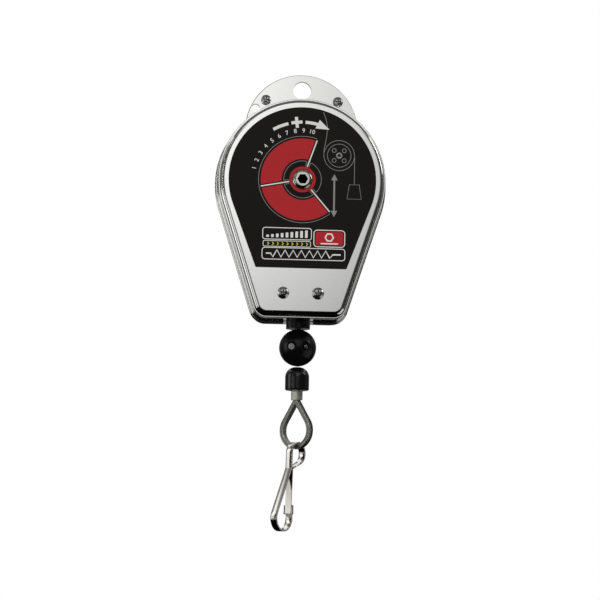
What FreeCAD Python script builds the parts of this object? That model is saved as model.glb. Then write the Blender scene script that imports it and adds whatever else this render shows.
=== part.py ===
"""Spring tool balancer: a pressed steel case, a spring-driven rope drum, a ball stop and a snap hook.

Millimetres. The origin is the centre of the hanging hole, in the plane where the two covers meet.
+Z is up, +X is right, and the labelled front faces -Y.
"""
import FreeCAD, Part
import math
import os
import re
import Sketcher

V = FreeCAD.Vector
os.makedirs("parts", exist_ok=True)
doc = FreeCAD.newDocument("tool_balancer")

# ---------------------------------------------------------------- sizes
SIZES = {
    # case
    "hanger_above_case": (13, "hanging hole's centre above the front face's round top"),
    "sheet_thickness": (1.2, "pressed steel of both covers"),
    "case_radius": (51, "round top of the front face"),
    "case_taper": (18, "lean of the straight sides, degrees"),
    "case_below": (86.2, "shaft down to the front face's bottom edge"),
    "case_corner": (6, "rounding of the front face's bottom corners"),
    "case_depth": (22, "parting plane to the front face"),
    "panel_raise": (1.6, "step of the raised panel"),
    "panel_edge": (1, "rounding of the raised panel's edge"),
    "ledge_width": (1.2, "narrow ledge round the raised panel"),
    "ledge_edge": (0.8, "rounding of the ledge's outer edge"),
    "wall_flare": (3.2, "wall's foot outside the front face's outline"),
    "foot_round": (0.9, "rounding between the wall and the flange"),
    "flange_reach": (5, "flange's rim outside the front face's outline"),
    "flange_edge": (0.5, "rounding of the flange's and the ear's outer edge"),
    "ear_radius": (37, "hanging ear's round top"),
    "ear_drop": (26.5, "hanging hole down to the ear's centre"),
    "hanging_hole": (12, "diameter"),
    "safety_hole": (5.5, "diameter of the hole for a safety wire"),
    "safety_out": (30.4, "safety hole left of the middle"),
    "safety_drop": (12.6, "safety hole below the hanging hole"),
    "ear_screw_out": (23.7, "ear screws either side of the middle"),
    "ear_screw_drop": (7.1, "ear screws below the hanging hole"),
    "face_screw_out": (11.1, "case screws either side of the middle"),
    "face_screw_drop": (73.8, "case screws below the shaft"),
    "notch_width": (18.6, "gap in the flange for the rope guide"),
    "hole_clearance": (0.25, "round a screw, on the radius"),
    "running_clearance": (0.05, "round a turning shaft, on the radius"),
    "seat_clearance": (0.1, "between parts of different bodies that stand face to face"),
    "press_gap": (0.02, "between a thread or a ring and what holds it"),
    # label
    "label_thickness": (0.15, "printed sheet"),
    "label_radius": (47.5, "round top"),
    "label_taper": (20.6, "lean of its sides, degrees"),
    "label_below": (57.7, "shaft down to its bottom edge"),
    "label_corner": (1, "rounding of its bottom corners"),
    # fasteners
    "case_screw": (4, "diameter"),
    "case_screw_head": (7.6, "diameter"),
    "case_nut": (7, "across flats"),
    "ear_screw": (3, "diameter"),
    "ear_screw_head": (6.6, "diameter"),
    "ear_nut": (5.5, "across flats"),
    "ball_screw": (2, "diameter"),
    "ball_screw_head": (4.2, "diameter"),
    "ball_nut": (4, "across flats"),
    "case_screw_past": (1.5, "case screws past their nuts"),
    "ear_screw_past": (1, "ear screws past their nuts"),
    "ball_screw_past": (0.4, "ball screws past their nuts"),
    "screw_bevel": (0.3, "bevel at a screw's end"),
    "lid_screw": (2, "diameter"),
    "lid_screw_head": (3.8, "diameter"),
    "recess_slot": (1, "width of a cross recess's slots"),
    # shaft and ratchet
    "shaft_diameter": (10, "tension shaft"),
    "journal_diameter": (8, "its rear end"),
    "knob_diameter": (12.8, "round head of the shaft on the front face"),
    "knob_height": (1.9, "head's rise above the label"),
    "knob_edge_in": (2, "bulged edge of the knob, inward"),
    "knob_edge_down": (1.3, "the same edge, along the shaft"),
    "knob_edge_round": (3, "rounding of that edge"),
    "hex_socket": (6, "across flats"),
    "hex_depth": (9, "depth of the socket"),
    "rear_overhang": (3, "shaft past the rear cover's face"),
    "shaft_bevel": (0.5, "bevel at the shaft's rear end"),
    "bush_wall": (2, "wall of the cover bushes"),
    "bush_flange": (1.6, "bush flange wider than its body, on the radius"),
    "flange_thickness": (0.9, "thickness of the front bush's flange"),
    "ratchet_radius": (11, "tips of the ratchet's teeth"),
    "ratchet_depth": (1.5, "height of its teeth"),
    "ratchet_thickness": (2.9, "along the shaft"),
    "ratchet_teeth": (12, "number of teeth"),
    "click_thickness": (0.5, "leaf of the click spring"),
    "click_length": (17, "leaf from its foot's end to the tooth"),
    "click_foot": (8, "square foot of the click spring"),
    "rivet_diameter": (3, "rivet through its foot"),
    "rivet_head": (1.1, "rivet's head wider than its shank, on the radius"),
    "rivet_head_bevel": (0.5, "slope of the head's side"),
    "rivet_head_height": (0.8, "height of the head"),
    "circlip_thickness": (0.8, "ring on the shaft's rear end"),
    "circlip_groove": (0.4, "depth of its groove"),
    "circlip_reach": (2, "ring beyond the journal, on the radius"),
    "washer_thickness": (0.8, "thrust washer before the ratchet"),
    # drum
    "rope_diameter": (2, "steel rope"),
    "rope_pitch_radius": (40, "centre of the rope on the drum"),
    "rope_turns": (5, "turns on the drum"),
    "turn_pitch": (2.4, "from one turn to the next"),
    "drum_flange_radius": (45.5, "flanges either side of the rope"),
    "drum_flange": (1.5, "thickness of those flanges"),
    "barrel_wall": (3, "wall between the rope and the mainspring"),
    "web_thickness": (2.5, "closed rear of the drum"),
    "lid_thickness": (1.5, "front lid"),
    "hub_reach": (3, "hub beyond the web, and before the lid"),
    "drum_bush": (2, "wall of the drum's bushes"),
    "hub_wall": (2.5, "hub round a bush"),
    "spring_side": (2, "mainspring's edge to the drum's closed rear"),
    "lid_side": (1.5, "mainspring's edge to the drum's lid"),
    "spring_strip": (0.6, "its thickness"),
    "spring_turns": (10, "its turns"),
    "spring_start_out": (1.4, "its first turn outside the shaft"),
    "spring_end_gap": (0.3, "its last turn inside the barrel"),
    "anchor_pin": (2, "pins that hold the mainspring's ends"),
    "inner_pin_past": (1.6, "inner pin's end outside the shaft"),
    "outer_pin_inside": (2, "outer pin's end inside the barrel's bore"),
    "outer_pin_sunk": (0.5, "outer pin's other end below the rope's groove"),
    # rope guide
    "guide_collar": (15.6, "diameter below the case"),
    "guide_collar_height": (4.8, "wall's outside down to the collar's end"),
    "guide_waist": (12, "diameter through the case's wall"),
    "guide_block_width": (26, "block inside the case"),
    "guide_block_depth": (14, "its thickness"),
    "guide_top_drop": (69, "shaft down to the block's top"),
    "guide_boss": (9, "tubes round the case screws"),
    "guide_bore": (2.4, "rope's bore"),
    "guide_flare": (1.2, "bevel at the bore's lower end"),
    "guide_mouth": (13.4, "funnel's mouth above"),
    "bend_drop": (77, "shaft down to the rope's bend in the guide"),
    "bend_radius": (10, "rope's bend in the guide"),
    "guide_rope_end": (6, "rope's run inside the case ends above the collar's end"),
    "ball_rope_start": (5, "outer run starts below the ball's top"),
    # ball stop, cap and loop
    "ball_diameter": (24, "rope stop"),
    "ball_recess": (6, "holes over the ball's screws and nuts"),
    "ball_recess_floor": (7.5, "parting plane to the recess's floor"),
    "ball_screw_out": (4.6, "screws either side of the rope"),
    "ball_gap": (0.3, "ball below the guide when wound up"),
    "cap_gap": (0.6, "cap below the ball"),
    "cap_diameter": (15.5, "bell-shaped end cap"),
    "cap_height": (15, "its length"),
    "cap_wall": (2.4, "its wall"),
    "cap_lip_in": (0.6, "bevel of its lower edge, inward"),
    "cap_lip_up": (0.8, "the same bevel, upward"),
    "sway_start": (0.8, "rope's sway starts above the cap's hollow"),
    "cap_round": (6.4, "rounding of its shoulder"),
    "joint_gap": (0.02, "between the ends of rope pieces"),
    "ferrule_width": (8, "oval crimp sleeve, wide way"),
    "ferrule_depth": (5, "narrow way"),
    "ferrule_length": (10, "its length"),
    "ferrule_show": (6.2, "its length below the cap"),
    "strand_past": (1, "rope's end past the sleeve's top"),
    "strand_spread": (1.05, "each rope strand from the sleeve's middle"),
    "loop_turn": (40, "turn of the loop's plane about the rope, degrees"),
    "loop_lean": (33.5, "lean of the loop's legs, degrees"),
    "loop_radius": (10.8, "rope's centre round the loop's bottom"),
    "thimble_width": (3.6, "U-shaped liner"),
    "thimble_sheet": (0.5, "its sheet"),
    "thimble_rim": (1.25, "liner's rims beyond the rope's centre"),
    "strand_bend": (5, "bends of the strands at the sleeve"),
    # snap hook
    "strip_width": (5, "bent strip of the hook"),
    "strip_thickness": (1, "strip"),
    "gate_thickness": (0.7, "thinned leg that springs open"),
    "gate_width": (4.6, "thinned leg"),
    "eye_radius": (6.8, "strip's middle round the eye"),
    "eye_aside": (4, "eye's centre aside from the neck, towards the gate"),
    "neck_drop": (11, "eye's centre down to the neck"),
    "neck_gap": (0.3, "between the legs at the neck"),
    "hook_radius": (7.9, "strip's middle round the hook's bottom"),
    "hook_drop": (43.5, "eye's centre down to the hook's centre"),
    "latch_height": (8.6, "tip above the hook's round bottom"),
    "gate_overlap": (3, "gate's end above the hook's round bottom"),
    "latch_below": (0.5, "cheeks start below the gate's end"),
    "latch_above": (0.4, "cheeks end below the tip"),
    "latch_cheek": (0.6, "cheeks either side of the gate"),
    "hook_swing": (13.5, "lean of the hook, degrees"),
    "hook_clearance": (0.3, "hook's eye above the loop's liner"),
    "gate_clearance": (0.12, "gate to the tip"),
}
FOLLOWING = {
    "hanger_to_shaft": ("case_radius + hanger_above_case", "hanging hole's centre down to the shaft's axis"),
    "ear_rise": ("hanger_to_shaft - ear_drop", "shaft up to the ear's centre"),
    "safety_rise": ("hanger_to_shaft - safety_drop", "safety hole above the shaft"),
    "ear_screw_rise": ("hanger_to_shaft - ear_screw_drop", "ear screws above the shaft"),
    "ratchet_room": ("flange_thickness + ratchet_thickness + washer_thickness + hub_reach / 2"
                     " + 2 * seat_clearance", "front cover's inside to the drum's lid"),
    "drum_half_width": ("case_depth - sheet_thickness - ratchet_room - lid_thickness",
                        "half the drum's length along the shaft"),
    "spring_width": ("2 * drum_half_width - web_thickness - lid_side - spring_side", "mainspring strip"),
}
sheet = doc.addObject("Spreadsheet::Sheet", "Sizes")
for row, (alias, (amount, meaning)) in enumerate({**SIZES, **FOLLOWING}.items(), start=1):
    sheet.set(f"A{row}", meaning)
    sheet.set(f"B{row}", f"={amount}")
    sheet.setAlias(f"B{row}", alias)
    doc.recompute()


def formula(text):
    """A formula in the sheet's aliases, written as the document wants it."""
    named = {**SIZES, **FOLLOWING}
    return re.sub(r"[a-z][a-z_]+", lambda word: f"Sizes.{word[0]}" if word[0] in named else word[0], text)


def number(text):
    """The present value of a formula in the sheet's aliases."""
    return float(sheet.evalExpression(formula(text)))


def bind(thing, prop, text):
    thing.setExpression(prop, formula(text))


# ---------------------------------------------------------------- places shared by several pieces
SHAFT_Z = "-hanger_to_shaft"
WALL_BOTTOM = "-hanger_to_shaft - case_below - wall_flare"
GUIDE_BOTTOM = f"{WALL_BOTTOM} - guide_collar_height"
BALL_Z = f"{GUIDE_BOTTOM} - ball_gap - ball_diameter / 2"
CAP_TOP = f"{BALL_Z} - ball_diameter / 2 - cap_gap"
CAP_BOTTOM = f"{CAP_TOP} - cap_height"
CAP_DOME = "min(cap_round; cap_diameter / 2 - rope_diameter / 2 - 2 * seat_clearance)"
FERRULE_BOTTOM = f"{CAP_BOTTOM} - ferrule_show"
INSIDE_FACE = "case_depth - sheet_thickness"
FRONT_FACE = "case_depth + label_thickness"
DRUM_FRONT = "drum_half_width + lid_thickness"
HUB_BORE = "shaft_diameter / 2 + running_clearance + drum_bush"
GROOVE_RADIUS = "rope_pitch_radius - rope_diameter / 2"
BARREL_BORE = f"{GROOVE_RADIUS} - barrel_wall"
LEAF_X = "ratchet_radius - ratchet_depth + seat_clearance"
RIVET_X = f"{LEAF_X} + click_foot / 2"
RIVET_Z = f"{SHAFT_Z} + seat_clearance + click_length - click_foot / 2"

# ---------------------------------------------------------------- ways of making a piece
nodes = []
ALONG = {"x": (V(0, 1, 0), 90), "y": (V(1, 0, 0), -90), "-y": (V(1, 0, 0), 90), "z": (V(0, 0, 1), 0)}
TINY = 1e-6


def keep(thing, label):
    thing.Label = label
    nodes.append(thing)
    return thing


def place(thing, x="0", y="0", z="0", along="z"):
    axis, angle = ALONG[along]
    thing.Placement = FreeCAD.Placement(V(0, 0, 0), FreeCAD.Rotation(axis, angle))
    for letter, text in zip("xyz", (x, y, z)):
        bind(thing, f".Placement.Base.{letter}", text)
    return thing


def cylinder(name, radius, height, x="0", y="0", z="0", along="z"):
    thing = doc.addObject("Part::Cylinder", name)
    bind(thing, "Radius", radius)
    bind(thing, "Height", height)
    return place(thing, x, y, z, along)


def cone(name, low_radius, high_radius, height, x="0", y="0", z="0", along="z"):
    thing = doc.addObject("Part::Cone", name)
    bind(thing, "Radius1", low_radius)
    bind(thing, "Radius2", high_radius)
    bind(thing, "Height", height)
    return place(thing, x, y, z, along)


def box(name, width, depth, height, x, y, z):
    thing = doc.addObject("Part::Box", name)
    bind(thing, "Length", width)
    bind(thing, "Width", depth)
    bind(thing, "Height", height)
    return place(thing, x, y, z)


def fuse(name, pieces):
    thing = doc.addObject("Part::MultiFuse", name)
    thing.Shapes = pieces
    return thing


def cut(name, base, tools):
    thing = doc.addObject("Part::Cut", name)
    thing.Base = base
    thing.Tool = tools[0] if len(tools) == 1 else fuse(name + "_tools", tools)
    return thing


def shaped(label, shape):
    """A sub-part whose shape is worked out from the sheet by Part's own functions."""
    thing = doc.addObject("Part::Feature", label)
    thing.Shape = shape
    return keep(thing, label)


def plane_of(body, role):
    return [item for item in body.Origin.OriginFeatures if item.Role == role][0]


def attached_sketch(body, name, role, lift):
    sketch = body.newObject("Sketcher::SketchObject", name)
    sketch.AttachmentSupport = [(plane_of(body, role), "")]
    sketch.MapMode = "FlatFace"
    bind(sketch, ".AttachmentOffset.Base.z", lift)
    return sketch


def dimension(sketch, name, constraint, text):
    index = sketch.addConstraint(constraint)
    sketch.renameConstraint(index, name)
    bind(sketch, f"Constraints.{name}", text)


def pin_down(sketch, name, item, end, x, y):
    """Fixes one end of a sketch line or arc at x, y."""
    for letter, kind, text, axis in (("x", "DistanceX", x, -2), ("y", "DistanceY", y, -1)):
        if text == "0":
            sketch.addConstraint(Sketcher.Constraint("PointOnObject", item, end, axis))
        else:
            made = Sketcher.Constraint(kind, -1, 1, item, end, number(text))
            dimension(sketch, f"{name}_{letter}", made, text)


def outline(body, name, role, corners, lift="0"):
    """A closed outline. A corner is (x, y), or (x, y, r) where the run to the next one is an arc:
    r is its radius, above 0 where it turns left."""
    sketch = attached_sketch(body, name, role, lift)
    points = [V(number(corner[0]), number(corner[1]), 0) for corner in corners]
    ends = []
    for index, corner in enumerate(corners):
        here, there = points[index], points[(index + 1) % len(points)]
        if len(corner) == 2:
            sketch.addGeometry(Part.LineSegment(here, there), False)
            ends.append((1, 2))
            continue
        radius = number(corner[2])
        run = there - here
        rise = abs(radius) - math.sqrt(radius ** 2 - (run.Length / 2) ** 2)
        side = V(run.y, -run.x, 0) / run.Length * math.copysign(rise, radius)
        middle = (here + there) / 2 + side
        first, last = (here, there) if radius > 0 else (there, here)
        sketch.addGeometry(Part.Arc(first, middle, last), False)
        ends.append((1, 2) if radius > 0 else (2, 1))
    for index, corner in enumerate(corners):
        follower = (index + 1) % len(corners)
        joined = Sketcher.Constraint("Coincident", index, ends[index][1], follower, ends[follower][0])
        sketch.addConstraint(joined)
    for index, corner in enumerate(corners):
        pin_down(sketch, f"corner{index}", index, ends[index][0], corner[0], corner[1])
        if len(corner) == 3:
            made = Sketcher.Constraint("Radius", index, abs(number(corner[2])))
            dimension(sketch, f"round{index}", made, f"abs({corner[2]})")
    return sketch


def circles(body, name, role, rounds, lift="0"):
    """Circles of (x, y, radius)."""
    sketch = attached_sketch(body, name, role, lift)
    for index, (x, y, radius) in enumerate(rounds):
        centre = V(number(x), number(y), 0)
        sketch.addGeometry(Part.Circle(centre, V(0, 0, 1), number(radius)), False)
        pin_down(sketch, f"centre{index}", index, 3, x, y)
        made = Sketcher.Constraint("Radius", index, number(radius))
        dimension(sketch, f"round{index}", made, radius)
    return sketch


def shield(body, name, radius, taper, below, corner, lift):
    """Round top about the shaft, straight sides that lean in, and a flat bottom with round corners."""
    sketch = attached_sketch(body, name, "XZ_Plane", lift)
    big, small = number(radius), number(corner)
    lean = math.radians(number(taper))
    top = V(0, number(SHAFT_Z), 0)
    out = V(math.cos(lean), -math.sin(lean), 0)
    down = V(-math.sin(lean), -math.cos(lean), 0)
    bottom = top.y - number(below)
    shoulder = top + out * big
    inner = shoulder - out * small
    centre = inner + down * ((inner.y - bottom - small) / math.cos(lean))
    knee = centre + out * small
    foot = centre - V(0, small, 0)

    def mirrored(point):
        return V(-point.x, point.y, 0)

    axis = V(0, 0, 1)
    half = math.pi
    sketch.addGeometry(Part.ArcOfCircle(Part.Circle(top, axis, big), -lean, half + lean), False)
    sketch.addGeometry(Part.LineSegment(shoulder, knee), False)
    sketch.addGeometry(Part.ArcOfCircle(Part.Circle(centre, axis, small), -half / 2, -lean), False)
    sketch.addGeometry(Part.LineSegment(foot, mirrored(foot)), False)
    left = Part.Circle(mirrored(centre), axis, small)
    sketch.addGeometry(Part.ArcOfCircle(left, half + lean, 1.5 * half), False)
    sketch.addGeometry(Part.LineSegment(mirrored(knee), mirrored(shoulder)), False)
    for pair in ((0, 1, 1, 1), (1, 2, 2, 2), (2, 1, 3, 1), (3, 2, 4, 2), (4, 1, 5, 1), (5, 2, 0, 2)):
        sketch.addConstraint(Sketcher.Constraint("Tangent", *pair))
    pin_down(sketch, "top", 0, 3, "0", SHAFT_Z)
    dimension(sketch, "top_radius", Sketcher.Constraint("Radius", 0, big), radius)
    dimension(sketch, "corner_radius", Sketcher.Constraint("Radius", 2, small), corner)
    sketch.addConstraint(Sketcher.Constraint("Equal", 2, 4))
    sketch.addConstraint(Sketcher.Constraint("Horizontal", 3))
    made = Sketcher.Constraint("DistanceY", -1, 1, 3, 1, bottom)
    dimension(sketch, "bottom", made, f"{SHAFT_Z} - ({below})")
    made = Sketcher.Constraint("Angle", 1, -half / 2 - lean)
    dimension(sketch, "right_lean", made, f"-(90 + {taper}) * 1 deg")
    made = Sketcher.Constraint("Angle", 5, half / 2 + lean)
    dimension(sketch, "left_lean", made, f"(90 + {taper}) * 1 deg")
    return sketch


def pad(body, name, sketch, length, reverse=False):
    feature = body.newObject("PartDesign::Pad", name)
    feature.Profile = sketch
    feature.Reversed = reverse
    bind(feature, "Length", length)
    return feature


def pocket(body, name, sketch, length=None, reverse=False):
    """Cuts the sketch's outline away: to a depth, or right through both ways where none is given."""
    feature = body.newObject("PartDesign::Pocket", name)
    feature.Profile = sketch
    if length is None:
        feature.Type = "ThroughAll"
        feature.Midplane = True
    else:
        feature.Reversed = reverse
        bind(feature, "Length", length)
    doc.recompute()
    before = feature.BaseFeature.Shape.Volume
    if feature.Shape.Volume > before - TINY:
        raise ValueError(f"{name} cuts nothing")
    return feature


def turned(label, axis, corners, x="0", y="0", z="0"):
    """A lathe-turned piece about Y or Z: corners are (radius, place along the axis)."""
    body = keep(doc.addObject("PartDesign::Body", label), label)
    role = {"y": "XY_Plane", "z": "XZ_Plane"}[axis]
    sketch = outline(body, label + "_profile", role, corners)
    feature = body.newObject("PartDesign::Revolution", label + "_turned")
    feature.Profile = sketch
    feature.ReferenceAxis = (sketch, ["V_Axis"])
    feature.Angle = 360
    place(body, x, y, z)
    return body


def ring(inner, outer, low, high):
    """The profile of a plain ring."""
    return [(inner, low), (outer, low), (outer, high), (inner, high)]


def fillet(body, name, base, radius, wanted):
    """Rounds the edges of base that the test wants."""
    doc.recompute()
    names = [f"Edge{index}" for index, edge in enumerate(base.Shape.Edges, start=1) if wanted(edge)]
    feature = body.newObject("PartDesign::Fillet", name)
    feature.Base = (base, names)
    bind(feature, "Radius", radius)
    return feature


# ---------------------------------------------------------------- pressed covers
def case_outline(body, name, grow, lift):
    """The case's shield outline, grown outward by a width."""
    return shield(body, name, f"case_radius + {grow}", "case_taper", f"case_below + {grow}",
                  f"case_corner + {grow}", lift)


def at_level(y):
    """A test for edges that lie in the plane at y."""
    return lambda edge: abs(edge.BoundBox.YMin - y) + abs(edge.BoundBox.YMax - y) < TINY


def within_case(point, grow):
    """Whether a point is inside the case's outline grown by a width."""
    taper = math.radians(number("case_taper"))
    radius = number("case_radius")
    rise = point.z - number(SHAFT_Z)
    if rise > -radius * math.sin(taper):
        return math.hypot(point.x, rise) < radius + grow
    beside = abs(point.x) * math.cos(taper) - rise * math.sin(taper)
    return beside < radius + grow and -rise < number("case_below") + grow


def pressed_cover(label, side):
    """One pan of the case, with its flange and its half of the hanging ear.
    side is 1 for the front, which faces -Y, and -1 for the rear."""
    body = keep(doc.addObject("PartDesign::Body", label), label)
    rear = side < 0
    ledge_lift = "case_depth - panel_raise"
    inner_lift = f"{ledge_lift} - sheet_thickness"
    flange = case_outline(body, label + "_flange_line", "flange_reach", "0")
    pad(body, label + "_flange", flange, "sheet_thickness", rear)
    ear = circles(body, label + "_ear_line", "XZ_Plane",
                  [("0", "ear_rise - hanger_to_shaft", "ear_radius")])
    sheet_face = -side * number("sheet_thickness")
    eared = pad(body, label + "_ear", ear, "sheet_thickness", rear)
    fillet(body, label + "_flange_edge", eared, "flange_edge", at_level(sheet_face))
    wall = body.newObject("PartDesign::AdditiveLoft", label + "_wall")
    wall.Profile = case_outline(body, label + "_wall_foot", "wall_flare", "0")
    wall.Sections = [case_outline(body, label + "_wall_top", "ledge_width", f"{side} * ({ledge_lift})")]
    wall.Ruled = True
    ledge_face = -side * number(ledge_lift)
    eased = fillet(body, label + "_ledge_edge", wall, "ledge_edge", at_level(ledge_face))
    rim = number("(wall_flare + flange_reach) / 2")
    fillet(body, label + "_foot_round", eased, "foot_round",
           lambda edge: at_level(sheet_face)(edge) and within_case(edge.CenterOfMass, rim))
    panel = case_outline(body, label + "_panel_line", "0", f"{side} * ({ledge_lift})")
    raised = pad(body, label + "_panel", panel, "panel_raise", rear)
    face = -side * number("case_depth")
    rounded = fillet(body, label + "_panel_edge", raised, "panel_edge", at_level(face))
    hollow = body.newObject("PartDesign::SubtractiveLoft", label + "_hollow")
    hollow.Profile = case_outline(body, label + "_hollow_foot", "wall_flare - sheet_thickness", "0")
    hollow.Sections = [case_outline(body, label + "_hollow_top", "ledge_width - sheet_thickness",
                                    f"{side} * ({inner_lift})")]
    hollow.Ruled = True
    doc.recompute()
    if hollow.Shape.Volume > 0.6 * rounded.Shape.Volume:
        raise ValueError(f"{label} is not hollow")
    dish = case_outline(body, label + "_dish_line", "0 - sheet_thickness", f"{side} * ({inner_lift})")
    pocket(body, label + "_dish", dish, "panel_raise", not rear)
    ear_screws = [(f"{way} * ear_screw_out", "ear_screw_rise - hanger_to_shaft",
                   "ear_screw / 2 + hole_clearance") for way in (-1, 1)]
    face_screws = [(f"{way} * face_screw_out", "-hanger_to_shaft - face_screw_drop",
                    "case_screw / 2 + hole_clearance") for way in (-1, 1)]
    bush = "shaft_diameter / 2" if side > 0 else "journal_diameter / 2"
    holes = [
        ("0", "0", "hanging_hole / 2"),
        ("-safety_out", "safety_rise - hanger_to_shaft", "safety_hole / 2"),
        ("0", SHAFT_Z, f"{bush} + running_clearance + bush_wall"),
    ]
    if side > 0:
        holes.append((RIVET_X, RIVET_Z, "rivet_diameter / 2"))
    drilled = circles(body, label + "_hole_lines", "XZ_Plane", holes + ear_screws + face_screws)
    pocket(body, label + "_holes", drilled)
    notch = outline(body, label + "_notch_line", "XZ_Plane", [
        ("-notch_width / 2", WALL_BOTTOM),
        ("-notch_width / 2 - flange_reach + wall_flare", f"{WALL_BOTTOM} - flange_reach"),
        ("notch_width / 2 + flange_reach - wall_flare", f"{WALL_BOTTOM} - flange_reach"),
        ("notch_width / 2", WALL_BOTTOM),
    ])
    pocket(body, label + "_notch", notch)
    mouth = circles(body, label + "_guide_line", "XY_Plane",
                    [("0", "0", "guide_waist / 2 + seat_clearance")], f"{WALL_BOTTOM} - flange_reach")
    pocket(body, label + "_guide_hole", mouth, "case_corner + 2 * flange_reach", True)
    return body


pressed_cover("front_cover", 1)
pressed_cover("rear_cover", -1)

label_body = keep(doc.addObject("PartDesign::Body", "face_label"), "face_label")
label_line = shield(label_body, "label_line", "label_radius", "label_taper", "label_below",
                    "label_corner", "case_depth")
pad(label_body, "label_sheet", label_line, "label_thickness")
label_hole = circles(label_body, "label_hole_line", "XZ_Plane",
                     [("0", SHAFT_Z, "shaft_diameter / 2 + running_clearance + bush_wall")], "case_depth")
pocket(label_body, "label_hole", label_hole)

# ---------------------------------------------------------------- rope guide
guide_solids = [
    cylinder("guide_collar", "guide_collar / 2", "guide_collar_height", z=GUIDE_BOTTOM),
    cylinder("guide_neck", "guide_waist / 2", "wall_flare", z=WALL_BOTTOM),
    box("guide_block", "guide_block_width", "guide_block_depth", "case_below - guide_top_drop",
        "-guide_block_width / 2", "-guide_block_depth / 2", f"{WALL_BOTTOM} + wall_flare"),
]
guide_cuts = [
    cylinder("guide_rope_bore", "guide_bore / 2", "case_below", z=f"{GUIDE_BOTTOM} - 1"),
    cone("guide_funnel", "guide_bore / 2", "guide_mouth / 2", "bend_drop + 2 - guide_top_drop",
         z=f"{SHAFT_Z} - bend_drop - 2"),
    cone("guide_outlet", "guide_bore / 2 + guide_flare", "guide_bore / 2", "guide_flare", z=GUIDE_BOTTOM),
]
for way, side_name in ((-1, "left"), (1, "right")):
    across = f"{way} * face_screw_out"
    down = "-hanger_to_shaft - face_screw_drop"
    guide_solids.append(cylinder(f"guide_boss_{side_name}", "guide_boss / 2", f"2 * ({INSIDE_FACE})",
                                 across, f"-({INSIDE_FACE})", down, "y"))
    guide_cuts.append(cylinder(f"guide_boss_bore_{side_name}", "case_screw / 2 + hole_clearance",
                               "2 * case_depth", across, "-case_depth", down, "y"))
keep(cut("rope_guide", fuse("guide_body", guide_solids), guide_cuts), "rope_guide")


# ---------------------------------------------------------------- fasteners
def ngon(across_flats, sides=6, turn=0.0):
    """Corners of a regular outline, given across its flats."""
    reach = across_flats / 2 / math.cos(math.pi / sides)
    angles = [turn + 2 * math.pi * step / sides for step in range(sides + 1)]
    return [V(reach * math.cos(angle), reach * math.sin(angle), 0) for angle in angles]


def prism(points, height):
    return Part.Face(Part.makePolygon(points)).extrude(V(0, 0, height))


# a pan head's and a nut's proportions
HEAD_RISE = 0.34  # of the head's diameter
SHOULDER_RISE = 0.4  # of the head's rise
CROWN_OUT, CROWN_UP = 0.36, 0.82  # a point on the crown, of the diameter and of the rise
RECESS_REACH = 0.52  # of the head's diameter
RECESS_FLOOR = 0.35  # of the head's rise
NUT_HEIGHT = 0.8  # of the thread's diameter
NUT_BEVEL = 0.97  # of the width across the flats


def pan_screw(diameter, head, length):
    """A pan-head screw with a cross recess: head on +Z, shank down to -length."""
    rise = HEAD_RISE * head
    shoulder = SHOULDER_RISE * rise
    bevel = number("screw_bevel")
    slot = number("recess_slot") * head / number("case_screw_head")
    profile = [V(0, 0, -length), V(diameter / 2 - bevel, 0, -length), V(diameter / 2, 0, bevel - length),
               V(diameter / 2, 0, 0), V(head / 2, 0, 0), V(head / 2, 0, shoulder)]
    edges = [Part.LineSegment(a, b).toShape() for a, b in zip(profile, profile[1:])]
    crown = Part.Arc(profile[-1], V(CROWN_OUT * head, 0, CROWN_UP * rise), V(0, 0, rise))
    edges += [crown.toShape(), Part.LineSegment(V(0, 0, rise), profile[0]).toShape()]
    body = Part.Face(Part.Wire(edges)).revolve(V(0, 0, 0), V(0, 0, 1), 360)
    for across, along in ((RECESS_REACH * head, slot), (slot, RECESS_REACH * head)):
        corner = V(-across / 2, -along / 2, RECESS_FLOOR * rise)
        body = body.cut(Part.makeBox(across, along, rise, corner))
    return body


def nut(across_flats, thread, height):
    body = prism(ngon(across_flats), height)
    body = body.cut(Part.makeCylinder(thread / 2 + number("press_gap"), height + 2, V(0, 0, -1)))
    narrow = across_flats / 2 * NUT_BEVEL
    bevel = Part.makeCone(narrow + height, narrow, height)
    return body.common(bevel)


def facing(shape, way, point):
    """Turns a fastener built along +Z to face the front (way 1) or the rear (-1), at a point."""
    made = shape.copy()
    made.Placement = FreeCAD.Placement(point, FreeCAD.Rotation(V(1, 0, 0), 90 * way))
    return made


shaft_z = number(SHAFT_Z)
sides = (-1, 1)
case_depth = number("case_depth")
face_screw_at = [V(way * number("face_screw_out"), 0, shaft_z - number("face_screw_drop")) for way in sides]
ear_screw_at = [V(way * number("ear_screw_out"), 0, shaft_z + number("ear_screw_rise")) for way in sides]
case_nut_height = NUT_HEIGHT * number("case_screw")
ear_nut_height = NUT_HEIGHT * number("ear_screw")
long_screw = pan_screw(number("case_screw"), number("case_screw_head"),
                       2 * case_depth + case_nut_height + number("case_screw_past"))
short_screw = pan_screw(number("ear_screw"), number("ear_screw_head"),
                        2 * number("sheet_thickness") + ear_nut_height + number("ear_screw_past"))
shaped("case_screws", Part.makeCompound([facing(long_screw, 1, p - V(0, case_depth, 0))
                                         for p in face_screw_at]))
case_nut = nut(number("case_nut"), number("case_screw"), case_nut_height)
shaped("case_nuts", Part.makeCompound([facing(case_nut, -1, p + V(0, case_depth, 0))
                                       for p in face_screw_at]))
sheet_y = V(0, number("sheet_thickness"), 0)
shaped("hanger_screws", Part.makeCompound([facing(short_screw, 1, p - sheet_y) for p in ear_screw_at]))
ear_nut = nut(number("ear_nut"), number("ear_screw"), ear_nut_height)
shaped("hanger_nuts", Part.makeCompound([facing(ear_nut, -1, p + sheet_y) for p in ear_screw_at]))

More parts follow.
